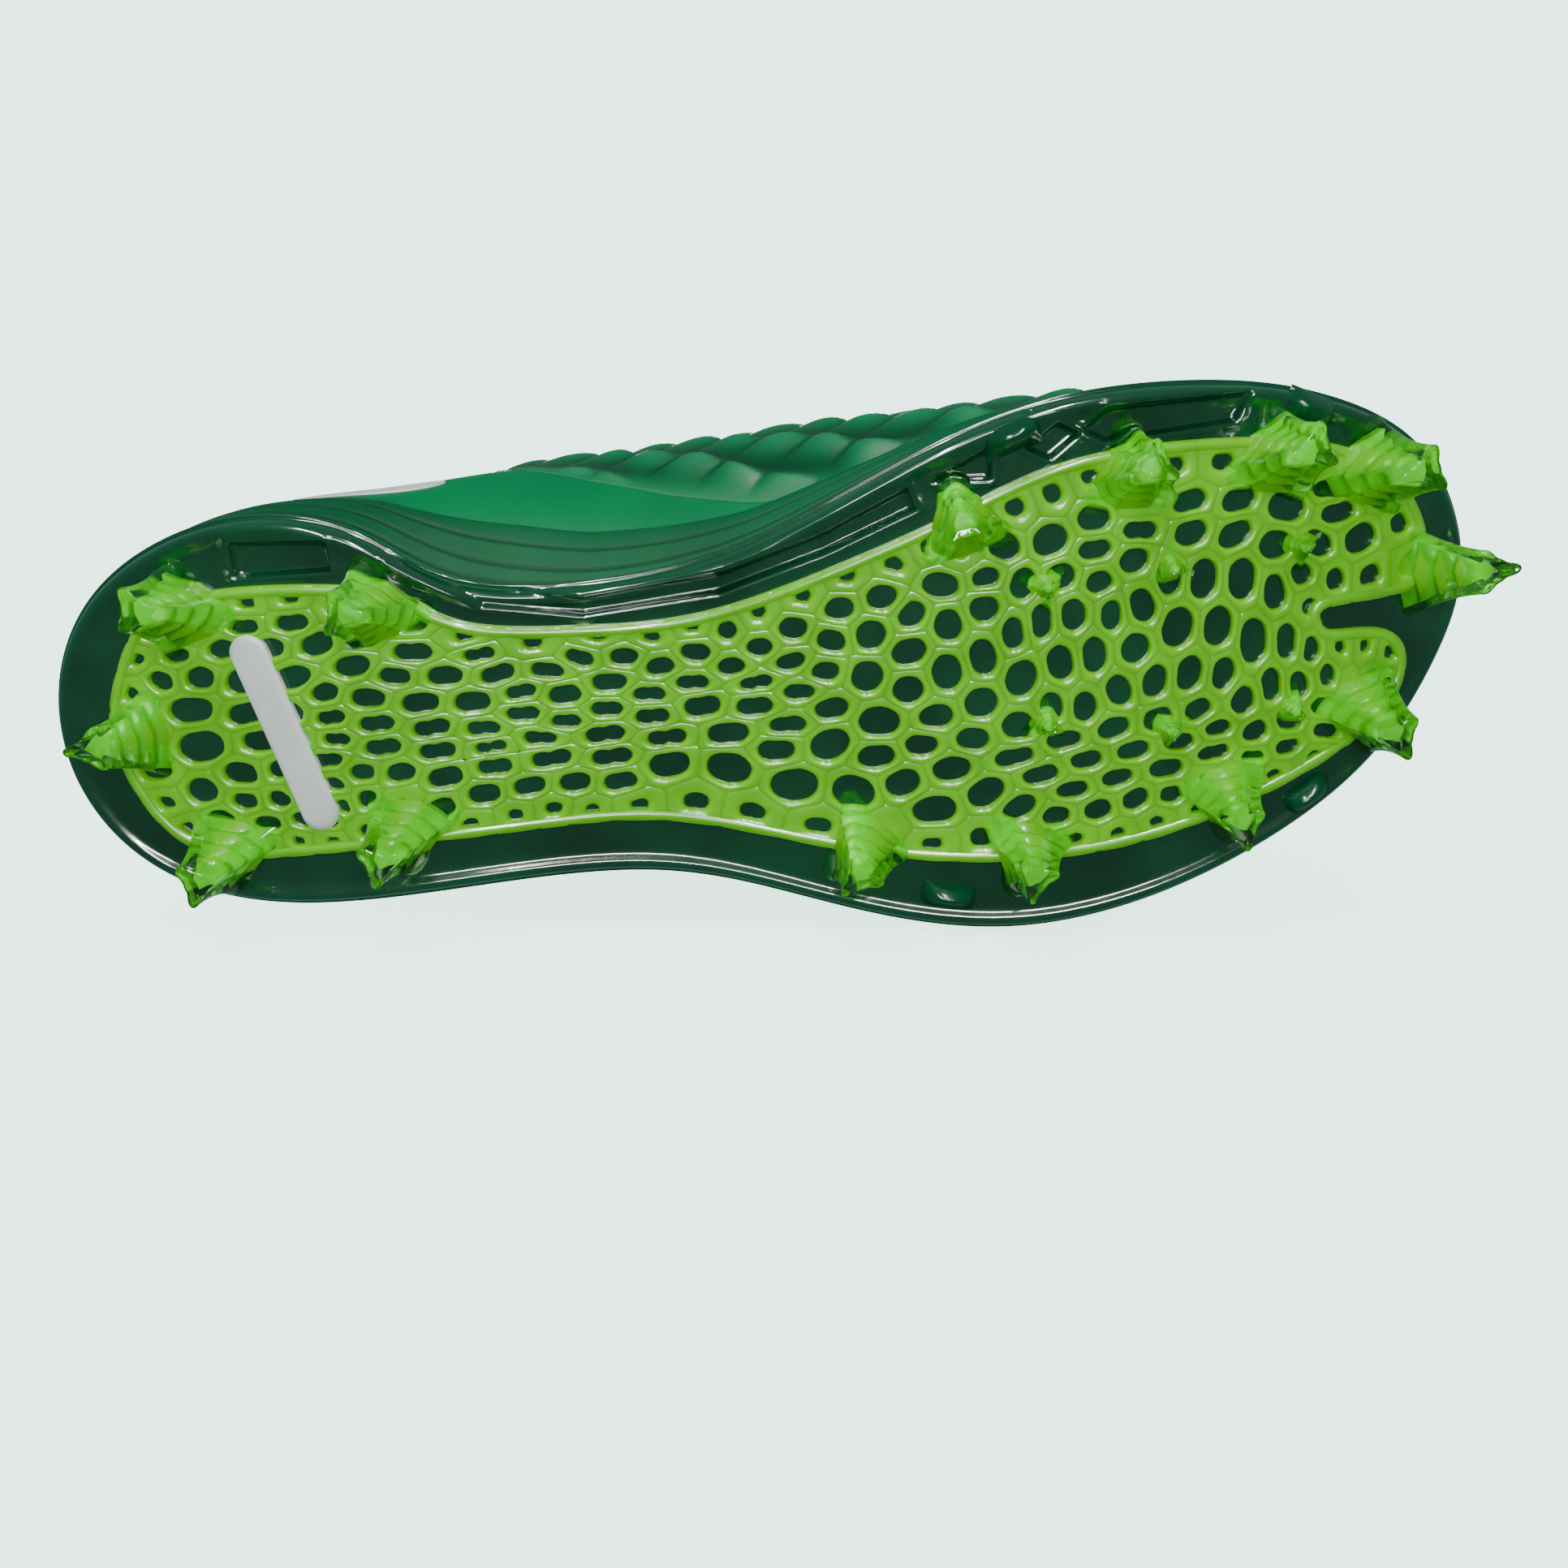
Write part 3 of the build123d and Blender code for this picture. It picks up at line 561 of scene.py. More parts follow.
def upper_surface(station, height):
    """Points of the upper.

    station runs once round the boot, 0 at the back of the heel and 13 at the
    toe, and height runs from 0 at the plate to 1 at the top line.  Each rib is
    a cubic Bezier curve: up from the plate's edge, out to the widest line and
    in to the collar, the throat or the ridge of the toe.  Over the inner side
    of the instep the two middle points are pushed out by a bell."""
    t, v = np.broadcast_arrays(np.asarray(station, float), np.asarray(height, float))
    fold = folded(t)
    foot = spline_value(FOOT_LOOP, t, True)
    wide = spline_value(WIDE_LOOP, t, True)
    top = spline_value(TOP_LOOP, t, True)
    gap = spline_value(GAP_LOOP, t, True)[..., 0]
    edge = np.sqrt(np.clip(1 - ((fold - THROAT_START) / (THROAT_END - THROAT_START)) ** 2, 0, 1))
    end_gap = np.sign(STATIONS - t % LOOP) * TOP_LINE[THROAT_START][3] * edge
    gap = np.where(fold > THROAT_START, end_gap, gap)
    arch, low, high = np.moveaxis(spline_value(SHAPE_LOOP, t, True), -1, 0)
    centre = spline_value([(p[0], p[1]) for p in TOP_LINE], np.clip(fold, 0, STATIONS), False)
    inward = centre - foot
    inward /= np.maximum(np.linalg.norm(inward, axis=-1, keepdims=True), 1e-9)
    foot = foot + FOOT_INSET * inward
    top[..., 1] += gap
    z0 = sole_height(foot[..., 0]) + PLATE_THICKNESS
    rise = top[..., 2] - z0
    a, a_z = foot, z0
    b, b_z = foot + LOW_REACH * (wide - foot), z0 + low * rise
    full = (wide - END_WEIGHT * (foot + top[..., :2]) - MIDDLE_WEIGHT * b) / MIDDLE_WEIGHT
    curl = top[..., :2] + CURL_REACH * (b - top[..., :2])
    c = full + arch[..., None] * (curl - full)
    c_z = z0 + high * rise
    bulge = INSTEP_BULGE * bell(t % LOOP, BULGE_STATION, BULGE_WIDTH)
    b[..., 1] -= bulge
    c[..., 1] -= 0.5 * bulge
    weights = ((1 - v) ** 3, 3 * (1 - v) ** 2 * v, 3 * (1 - v) * v ** 2, v ** 3)
    flat = sum(w[..., None] * q for w, q in zip(weights, (a, b, c, top[..., :2])))
    z = sum(w * q for w, q in zip(weights, (a_z, b_z, c_z, top[..., 2])))
    return with_height(flat, z)


def upper_point(station, height):
    """Points and outward normals of the upper at any places of the same shape."""
    e = NORMAL_STEP
    p = upper_surface(station, height)
    dt = upper_surface(np.add(station, e), height) - upper_surface(np.subtract(station, e), height)
    v_low, v_high = np.clip(height - e, 0, 1), np.clip(height + e, 0, 1)
    dv = upper_surface(station, v_high) - upper_surface(station, v_low)
    n = np.cross(dv, dt)
    n /= np.maximum(np.linalg.norm(n, axis=-1, keepdims=True), 1e-9)
    n *= np.where(((p - BOOT_MIDDLE) * n).sum(-1, keepdims=True) < 0, -1, 1)
    return p, n


def panel(name, stations, low, high, rows, lift, key, relief=None, skirt=1.6, **more):
    """A sheet of the upper between two height lines.

    The grid goes along the stations and up between low and high, stands lift
    millimetres off the upper's surface plus any relief, and its border turns
    down by skirt so that the sheet shows its thickness."""
    u = np.asarray(stations, float)
    share = np.linspace(0, 1, rows)
    v = low(u)[:, None] + share[None] * (high(u) - low(u))[:, None]
    t = np.broadcast_to(u[:, None], v.shape)
    p, n = upper_point(t, v)
    extra, values = relief(t, v, p, share[None] + 0 * v) if relief else (0 * v, {})
    body = p + n * (lift + extra)[..., None]
    pad = [(1, 1), (1, 1)]
    body = np.pad(body, pad + [(0, 0)], mode="edge")
    deep = np.pad(p + n * (lift - skirt), pad + [(0, 0)], mode="edge")
    rim = np.zeros(body.shape[:2], bool)
    rim[[0, -1]] = rim[:, [0, -1]] = True
    body[rim] = deep[rim]
    values = {k: np.pad(a, pad, mode="edge") for k, a in values.items()}
    return grid_piece(name, body, material(key), flip=True, values=values, **more)


# ------------------------------------------------------------------ the lattice's layout
# A cell nearer than this to a stud is closed; the lattice's edge is solid this far in.
CLEAR_OF_STUD, SOLID_BORDER = 6.0, 3.4
# Share of a hole that is its fitted oval, and its least size as a share of its cell.
OVAL_SHARE, LEAST_HOLE = 0.75, 0.26
LONGEST_RAY = 15
# Radii of the studs at their bases and tips, and the steps of the lime cores.
STUD_RADII, GRIP_RADII = (11.6, 5.0), (5.6, 1.5)
CORE_HEIGHT, CORE_LEVELS, CORE_STEP = 0.8, 17, 4


def cell_size(x, y):
    """Wanted length and width of a cell at each place."""
    anchors = np.array(CELL_ANCHORS, float)
    gap = ((x[:, None] - anchors[:, 0]) / 11) ** 2 + ((y[:, None] - anchors[:, 1]) / 6) ** 2
    weight = 1 / (0.15 + gap) ** 2
    weight /= weight.sum(1, keepdims=True)
    return weight @ anchors[:, 2], weight @ anchors[:, 3]


def spread_cells(outline):
    """Centres, half axes and turns of the holes of the lattice.

    Seeds are moved again and again to the middle of the part of the outline
    nearest to them, where near is measured in a stretched metric, so that the
    cells become long at the waist and wide at the ball."""
    step = 1.25
    gx, gy = np.meshgrid(np.arange(8, 288, step), np.arange(-36, 52, step))
    p = np.stack([gx.ravel(), gy.ravel()], 1)
    p = p[inside(p, outline)]
    length, width = cell_size(p[:, 0], p[:, 1])
    density = 1.0 / (length * width)
    count = int((density * step * step).sum())
    chosen = np.random.default_rng(3).choice(len(p), count, False, density / density.sum())
    seeds = p[chosen]
    for _ in range(40):
        delta = p[:, None] - seeds[None]
        near = (delta[..., 0] / length[:, None]) ** 2 + (delta[..., 1] / width[:, None]) ** 2
        owner = near.argmin(1)
        weight = np.bincount(owner, density, count)
        safe = np.maximum(weight, 1e-9)
        moved = [np.bincount(owner, density * p[:, k], count) / safe for k in (0, 1)]
        seeds = np.where(weight[:, None] > 0, np.stack(moved, 1), seeds)
    delta = p - seeds[owner]
    cells = []
    for k in range(count):
        mine = delta[owner == k]
        if len(mine) >= 3:
            values, vectors = np.linalg.eigh(np.cov(mine.T) + np.eye(2) * step * step / 12)
            turn = np.arctan2(vectors[1, 1], vectors[0, 1])
            cells.append((*seeds[k], 2.0 * math.sqrt(values[1]), 2.0 * math.sqrt(values[0]), turn))
    return np.array(cells)


# ------------------------------------------------------------------ operators
class BuildPiece:
    """What every operator of the boot shares."""
    bl_options = {"REGISTER", "UNDO"}

    def execute(self, context):
        """Build the piece from the scene's settings; an error stops the operator."""
        self.build(context.scene.boot_settings)
        return {"FINISHED"}


CAMERA_TURN, CAMERA_TILT = math.radians(7.1), math.radians(15.2)
SURROUND = (0.68, 1.0, 0.89)
PAPER = (0.80, 0.83, 0.83)


class BOOT_OT_stage(BuildPiece, bpy.types.Operator):
    """Camera, lights, pale floor and backdrop"""
    bl_idname = "boot.stage"
    bl_label = "Stage"

    def build(self, s):
        """The camera first, then what it sees the boot against and what lights it."""
        self.camera()
        self.sheets()
        self.lights(s)
        self.world()

    def camera(self):
        """A camera below and beside the boot, which lies on its outer side in its view."""
        turn, tilt = CAMERA_TURN, CAMERA_TILT
        right = Vector((math.cos(turn), math.sin(turn), 0))
        level = Vector((math.sin(turn), -math.cos(turn), 0))
        below = Vector((0, 0, -1))
        up = level * math.cos(tilt) - below * math.sin(tilt)
        back = below * math.cos(tilt) + level * math.sin(tilt)
        data = bpy.data.cameras.new("camera")
        data.sensor_width = 36.0
        data.lens = 32.03
        data.clip_start = 0.01
        data.clip_end = 20.0
        camera = bpy.data.objects.new("camera", data)
        place = Vector(to_frame((155.74, -48.84, -265.0)))
        turn_matrix = Matrix((right, up, back)).transposed()
        camera.matrix_world = Matrix.Translation(place) @ turn_matrix.to_4x4()
        bpy.context.scene.collection.objects.link(camera)
        bpy.context.scene.camera = camera

    def sheet_material(self, name, glow_strength, fade_from, fade_to, centre):
        """A pale matte sheet, seen from its front only, that fades out with distance."""
        m = Shader(name)
        where = m.node("ShaderNodeTexCoord", out="Object")
        gap = m.node("ShaderNodeVectorMath", {"operation": "DISTANCE"}, [where, centre], out="Value")
        fade = gap.within(fade_to, fade_from)
        back = m.node("ShaderNodeNewGeometry", out="Backfacing")
        tone = m.mix(m.noise(200.0), shade(PAPER, 0.99), shade(PAPER, 1.01))
        lit = m.node("ShaderNodeBsdfDiffuse", {}, {"Color": tone})
        glow = m.node("ShaderNodeEmission", {}, {"Color": SURROUND, "Strength": glow_strength})
        matte = m.node("ShaderNodeAddShader", {}, [lit, glow])
        clear = m.node("ShaderNodeBsdfTransparent")
        mixed = m.node("ShaderNodeMixShader", {}, [fade * (1 - back), clear, matte])
        m.tree.links.new(mixed.socket, m.output.inputs["Surface"])
        return m.material

    def sheets(self):
        """The pale sheet behind the lying boot, and a floor patch under its studs."""
        along = np.array([math.cos(CAMERA_TURN), math.sin(CAMERA_TURN), 0])
        corner = np.array([192, 65.6, 0])
        reach = np.linspace(-1500, 1500, 21)
        a, b = np.meshgrid(reach, reach, indexing="ij")
        wall = corner + along * a[..., None] + np.array([0, 0, 1.0]) * b[..., None]
        centre = tuple(to_frame((150, 62, 20)))
        self.sheet_object("backdrop", wall, self.sheet_material("backdrop_paper", 2.9, 0.05, 0.2, centre))
        floor = np.stack([140 + a, b, 0 * a - 0.2], -1)
        centre = tuple(to_frame((150, 10, 0)))
        self.sheet_object("floor", floor, self.sheet_material("floor_paper", 1.7, 0.25, 0.8, centre))

    def sheet_object(self, name, points, tone):
        """One sheet that the camera sees but the boot doesn't mirror or take light from."""
        faces = grid_faces(*points.shape[:2], flip=True)
        mesh = bpy.data.meshes.new(name)
        mesh.from_pydata(to_frame(points.reshape(-1, 3)).tolist(), [], faces.tolist())
        mesh.materials.append(tone)
        sheet = bpy.data.objects.new(name, mesh)
        sheet.visible_shadow = sheet.visible_glossy = False
        sheet.visible_diffuse = sheet.visible_transmission = False
        bpy.context.scene.collection.objects.link(sheet)

    def lights(self, s):
        """Softboxes that light the boot, and strips that only its gloss mirrors.

        Each box has a name, a place, a length and width in metres, a power in
        watts, and whether it is mirrored."""
        boxes = [("key_softbox", (120, -700, -160), (0.5, 0.3), s.key_power, False),
                 ("strip_near", (60, -420, -330), (0.02, 0.3), 3.2, True),
                 ("strip_far", (260, -470, -260), (0.02, 0.35), 3.6, True),
                 ("strip_low", (150, -200, -500), (0.3, 0.016), 2.4, True),
                 ("strip_top", (150, -80, 520), (0.35, 0.03), 2.0, True),
                 ("camera_fill", (150, -150, -600), (0.5, 0.5), 3.2, False),
                 ("top_fill", (150, -150, 650), (0.6, 0.4), 3.6, False),
                 ("outer_fill", (80, 650, 240), (0.5, 0.4), 3.2, False)]
        target = Vector(to_frame((150, 0, 25)))
        for name, place, size, power, mirrored in boxes:
            data = bpy.data.lights.new(name, "AREA")
            data.shape = "RECTANGLE"
            data.size, data.size_y = size
            data.energy = power
            lamp = bpy.data.objects.new(name, data)
            lamp.visible_glossy = mirrored
            lamp.visible_diffuse = not mirrored
            spot = Vector(to_frame(place))
            aim = (target - spot).to_track_quat("-Z", "Y").to_matrix().to_4x4()
            lamp.matrix_world = Matrix.Translation(spot) @ aim
            bpy.context.scene.collection.objects.link(lamp)

    def world(self):
        """An even pale surround for the camera, and a dim tinted one for light."""
        world = bpy.data.worlds.new("surround")
        world.use_nodes = True
        tree = world.node_tree
        seen = tree.nodes["Background"]
        seen.inputs["Color"].default_value = (*SURROUND, 1)
        seen.inputs["Strength"].default_value = 3.8
        lit = tree.nodes.new("ShaderNodeBackground")
        lit.inputs["Color"].default_value = (0.5, 0.85, 0.75, 1)
        lit.inputs["Strength"].default_value = 0.28
        path = tree.nodes.new("ShaderNodeLightPath")
        mix = tree.nodes.new("ShaderNodeMixShader")
        tree.links.new(path.outputs["Is Camera Ray"], mix.inputs[0])
        tree.links.new(lit.outputs[0], mix.inputs[1])
        tree.links.new(seen.outputs[0], mix.inputs[2])
        tree.links.new(mix.outputs[0], tree.nodes["World Output"].inputs["Surface"])
        bpy.context.scene.world = world


class BOOT_OT_plate(BuildPiece, bpy.types.Operator):
    """Glossy plate: a floor, a rolled rim with pockets and a low wall"""
    bl_idname = "boot.plate"
    bl_label = "Plate"

    def build(self, s):
        """Rings of the outline drawn in towards a spine; heights follow the sole line
        plus a rolled rim, less the pockets, which are sunk by a smooth step."""
        spine_y = np.interp(OUTLINE[:, 0], [0, 60, 110, 180, 240, 294], [0, 1, 9, 10, 6, 0])
        spine = np.stack([np.clip(OUTLINE[:, 0], 34, 256), spine_y], 1)
        reach = np.linalg.norm(OUTLINE - spine, axis=1)
        deep = np.concatenate([np.linspace(0, 16, 45), np.linspace(18, 60, 12)])
        share = np.clip(1 - deep[None] / reach[:, None], 0, 1)
        flat = spine[:, None] + (OUTLINE - spine)[:, None] * share[..., None]
        gap = (1 - share) * reach[:, None]
        roll = 1.1 * bell(gap, 2.2, 1.7)
        edge_fall = 3.0 * np.clip(1 - gap / 1.6, 0, 1) ** 2
        z = sole_height(flat[..., 0]) + 0.5 - roll + edge_fall
        thin = bell(gap, 0, 2.6) * 0.35
        near = gap.ravel() < POCKET_REACH
        sunk = np.zeros(gap.size)
        points = flat.reshape(-1, 2)[near]
        for pocket in POCKETS:
            distance = edge_distance(points, np.array(pocket, float))
            sunk[near] += POCKET_DEPTH * smoothstep(-0.5, 0.7, distance)
            sunk[near] -= POCKET_LIP * bell(distance, -0.9, 0.7)
        z = z + sunk.reshape(z.shape)
        top = with_height(flat, z)
        wall = self.wall()
        points = np.concatenate([wall[:, ::-1], top], 1)
        thin = np.concatenate([np.full(wall.shape[:2], 0.3), thin], 1)
        grid_piece("plate", points, material("plate"), wrap_rows=True, flip=True, slot="green_tpu",
                   replaces=("outsole_plate",), values={"thin": thin}, merge=0.01)

    def wall(self):
        """The rim's outside, which climbs the upper's wall and ends in a round lip."""
        outward = outward_of(OUTLINE)
        profile = [(0.35, 1.2), (0.5, 2.6), (0.3, 4.2), (-0.1, 5.6),
                   (-0.6, 6.6), (-1.3, 7.0), (-2.2, 6.6), (-2.6, 5.6)]
        foot = sole_height(OUTLINE[:, 0])
        return np.stack([with_height(OUTLINE + outward * out, foot + 2.6 + up - 1.2)
                         for out, up in profile], 1)


class BOOT_OT_lattice(BuildPiece, bpy.types.Operator):
    """Lime lattice set into the plate"""
    bl_idname = "boot.lattice"
    bl_label = "Lattice"

    def build(self, s):
        """Every cell is a ring of strut round an oval hole.

        Along a ray from the cell's centre the strut starts at the hole's wall and
        ends halfway to the next cell, where the two holes' oval measures agree.
        Near the outline the hole stops at a solid border, and a cell under a
        stud has almost none."""
        outline = closed_outline(WEB_EDGE, 900)
        cells = spread_cells(outline)
        centre = cells[:, :2]
        open_cell = np.ones(len(cells), bool)
        for stud in STUDS:
            open_cell &= np.hypot(centre[:, 0] - stud[1], centre[:, 1] - stud[2]) > CLEAR_OF_STUD
        angles = np.linspace(0, 2 * np.pi, s.cell_angles, endpoint=False)
        ray = np.stack([np.cos(angles), np.sin(angles)], 1)
        to_edge = self.ray_exit(centre, ray, outline)
        border = np.minimum(self.halfway(cells, ray), to_edge)
        oval = 1 / self.measure(centre[:, None] + ray, cells[:, None])
        room = np.minimum(border, to_edge - SOLID_BORDER + s.strut_width / 2)
        fit = np.minimum(np.percentile(room / oval, 14, axis=1, keepdims=True), 1.0)
        hole = OVAL_SHARE * oval * fit + (1 - OVAL_SHARE) * np.minimum(oval * 0.95, room)
        hole = np.minimum(hole, room * 0.98) - s.strut_width / 2
        hole = np.where(open_cell[:, None], np.maximum(hole, LEAST_HOLE * border), 0.02)
        self.rings(s, centre, ray, self.rounded(hole), border)
        self.edge_bead(s, outline)

    def halfway(self, cells, ray):
        """Length of each ray to the place where another cell's oval measure is as small."""
        radii = np.linspace(0.02, 1, 90) * LONGEST_RAY
        centre = cells[:, :2]
        points = centre[:, None, None] + ray[None, :, None] * radii[None, None, :, None]
        gap = np.hypot(*(centre[:, None] - centre[None]).transpose(2, 0, 1))
        nearest = np.argsort(gap, 1)[:, 1:15]
        rival = np.min([self.measure(points, cells[k][:, None, None]) for k in nearest.T], axis=0)
        lead = self.measure(points, cells[:, None, None]) - rival
        after = np.where((lead >= 0).any(-1), (lead >= 0).argmax(-1), len(radii) - 1)
        before = np.maximum(after - 1, 0)
        low, high = [np.take_along_axis(lead, k[..., None], -1)[..., 0] for k in (before, after)]
        share = np.clip(-low / np.where(high == low, 1, high - low), 0, 1)
        return radii[before] + share * (radii[after] - radii[before])

    def rounded(self, hole):
        """Each hole's radius, smoothed round the hole."""
        for _ in range(10):
            hole = 0.25 * np.roll(hole, 1, 1) + 0.5 * hole + 0.25 * np.roll(hole, -1, 1)
        return hole

    def measure(self, points, cells):
        """How many times its own oval's size a point is from a cell's centre."""
        d = points - cells[..., :2]
        c, s = np.cos(cells[..., 4]), np.sin(cells[..., 4])
        along = (d[..., 0] * c + d[..., 1] * s) / cells[..., 2]
        across = (d[..., 1] * c - d[..., 0] * s) / cells[..., 3]
        return np.hypot(along, across)

    def ray_exit(self, centre, ray, outline):
        """Length of each ray to the outline."""
        edge = np.roll(outline, -1, 0) - outline
        away = outline[None] - centre[:, None]
        nearest = []
        for dx, dy in ray:
            cross = dx * edge[:, 1] - dy * edge[:, 0]
            cross = np.where(abs(cross) < 1e-9, 1e-9, cross)
            reach = (away[..., 0] * edge[:, 1] - away[..., 1] * edge[:, 0]) / cross
            share = (away[..., 0] * dy - away[..., 1] * dx) / cross
            hit = (reach > 0) & (share >= 0) & (share <= 1)
            nearest.append(np.where(hit, reach, 1e9).min(1))
        return np.stack(nearest, 1)

    def rings(self, s, centre, ray, hole, border):
        """The struts' surface, from deep in the hole, over a round shoulder, to the border.

        Each step is a share of the strut's width, a share of its height and how much painted
        highlight (paler lime) it gets; the last one passes the border, so that cells overlap."""
        steps = [(0.0, -1.5, 0.0), (0.0, -0.6, 0.1), (0.04, 0.1, 0.5), (0.13, 0.62, 1.0), (0.28, 0.93, 0.8),
                 (0.5, 1.02, 0.25), (0.75, 1.0, 0.05), (1.0, 0.98, 0.0), (1.12, 0.9, 0.0)]
        layers, ridge_highlight = [], []
        width = border - hole
        for share, lift, tone in steps:
            radius = hole + (share * width if share <= 1 else width + 0.3)
            xy = centre[:, None] + ray[None] * radius[..., None]
            layers.append(with_height(xy, sole_height(xy[..., 0]) + 0.5 - s.strut_height * lift))
            # Painted highlight: how much paler lime each step gets, most on the shoulder by the hole.
            ridge_highlight.append(np.full(radius.shape, tone))
        points = np.stack(layers, 2)
        cells, angles, levels = points.shape[:3]
        one = grid_faces(angles, levels, wrap_rows=True)
        faces = (one[None] + (np.arange(cells) * angles * levels)[:, None, None]).reshape(-1, 4)
        make_mesh("lattice", points.reshape(-1, 3), faces, material("lime"), slot="lime_tpu",
                  replaces=("web_insert",), values={"ridge_highlight": np.stack(ridge_highlight, 2)})

    def edge_bead(self, s, outline):
        """A half-round bead along the lattice's edge, with a painted highlight of paler lime on its outer
        shoulder.
        """
        turn = np.linspace(-0.15 * np.pi, 1.15 * np.pi, 14)
        out, up = 1.35 * np.cos(turn), 1.15 * np.sin(turn)
        xy = outline[:, None] + outward_of(outline)[:, None] * (out - 0.9)[None, :, None]
        z = sole_height(xy[..., 0]) + 0.3 - s.strut_height * up
        # Painted highlight: paler lime on the bead's outer shoulder.
        tone = np.broadcast_to(bell(out, 1.0, 0.4), z.shape)
        grid_piece("lattice_edge", with_height(xy, z), material("lime"), wrap_rows=True, slot="lime_tpu",
                   values={"ridge_highlight": tone})


class BOOT_OT_studs(BuildPiece, bpy.types.Operator):
    """Clear bladed studs with lime cores, and grip studs"""
    bl_idname = "boot.studs"
    bl_label = "Studs"

    def build(self, s):
        """Every stud stands on the plate and turns one blade to the middle of the sole."""
        turned = {"stud_toe": 0.0, "stud_heel_back": math.pi}
        for node, x, y, tip_x, tip_y, tip_z in STUDS + [TOE_STUD]:
            angle = turned.get(node, math.atan2(y - 5.0, x - 155.0) + math.pi)
            self.stud(node, x, y, (tip_x, tip_y, tip_z + 0.02), angle, *STUD_RADII)
        for k, (x, y) in enumerate(GRIP_STUDS):
            tip = (x, y, float(sole_height(x)) - 6.0)
            self.stud("grip_stud_%d" % (k + 1), x, y, tip, math.atan2(y - 5.0, x - 230.0), *GRIP_RADII)

    def stud(self, node, x, y, tip, angle, base_radius, tip_radius):
        """A clear shell, and in it a six-sided lime core that narrows in steps."""
        base, tip = np.array([x, y, float(sole_height(x)) + 0.8]), np.array(tip)
        shell = self.capped(self.body(base, tip, angle, base_radius, tip_radius, 0.5, 22, 72, 1.7), 0.35)
        grid_piece(node + "_shell", shell, material("shell"), wrap_columns=True, flip=True,
                   slot="clear_green_tpu", replaces=(node,), merge=0.002)
        inner_tip = base + (tip - base) * CORE_HEIGHT
        core_radii = base_radius * 0.74, tip_radius * 0.55
        core = self.body(base, inner_tip, angle, *core_radii, 0.3, CORE_LEVELS, 6, 1.2)
        core[:, :, :2] = core[np.arange(CORE_LEVELS) // CORE_STEP * CORE_STEP, :, :2]
        core = self.capped(core, 0.0)
        # The cores get none of the lime's painted highlight.
        grid_piece(node + "_core", core, material("lime"), wrap_columns=True, flip=True, slot="lime_tpu",
                   values={"ridge_highlight": np.zeros(core.shape[:2])}, merge=0.002)

    def body(self, base, tip, angle, base_radius, tip_radius, pinch, levels, sides, flare):
        """A three-bladed spike: its radius falls from base to tip along a curve, and
        between the blades it is pinched in by a cosine of three times the angle."""
        a = np.linspace(0, 2 * np.pi, sides, endpoint=False)
        h = np.linspace(0, 1, levels)[:, None]
        blade = (0.5 + 0.5 * np.cos(3 * (a - angle)))[None]
        sharp = blade ** (1.6 + 1.2 * h)
        size = tip_radius + (base_radius - tip_radius) * (1 - h) ** flare
        radius = size * (1 - pinch + pinch * sharp)
        axis = base[:2] + (tip - base)[:2] * h[..., None] ** 1.1
        xy = axis + np.stack([np.cos(a), np.sin(a)], 1)[None] * radius[..., None]
        return with_height(xy, base[2] + (tip[2] - base[2]) * h + 0 * radius)

    def capped(self, points, dish):
        """Close the tip with a ring drawn in to a slightly dished middle."""
        last = points[-1:]
        middle = last.mean(1, keepdims=True)
        inner = [middle + (last - middle) * k for k in (0.9, 0.6, 0.02)]
        for ring, drop in zip(inner, (0.0, dish, dish)):
            ring[..., 2] += drop
        return np.concatenate([points] + inner, 0)


class BOOT_OT_fins(BuildPiece, bpy.types.Operator):
    """Low dark green fins on the rim"""
    bl_idname = "boot.fins"
    bl_label = "Rim fins"

    def build(self, s):
        """A hump whose height falls off as a rounded box in length and width."""
        for node, x, y, length, turn in FINS:
            u, v = np.meshgrid(np.linspace(-1, 1, 29), np.linspace(-1, 1, 17), indexing="ij")
            rise = (1 - np.abs(u) ** 2.6) * (1 - np.abs(v) ** 1.6)
            along, across = u * length * (0.5 + 0.06 * rise), v * 3.2
            c, si = math.cos(math.radians(turn)), math.sin(math.radians(turn))
            px, py = x + along * c - across * si, y + along * si + across * c
            pz = sole_height(px) + 1.0 - 4.6 * rise
            grid_piece(node + "_form", np.stack([px, py, pz], -1), material("fin"), flip=True,
                       slot="clear_green_tpu", replaces=(node,))


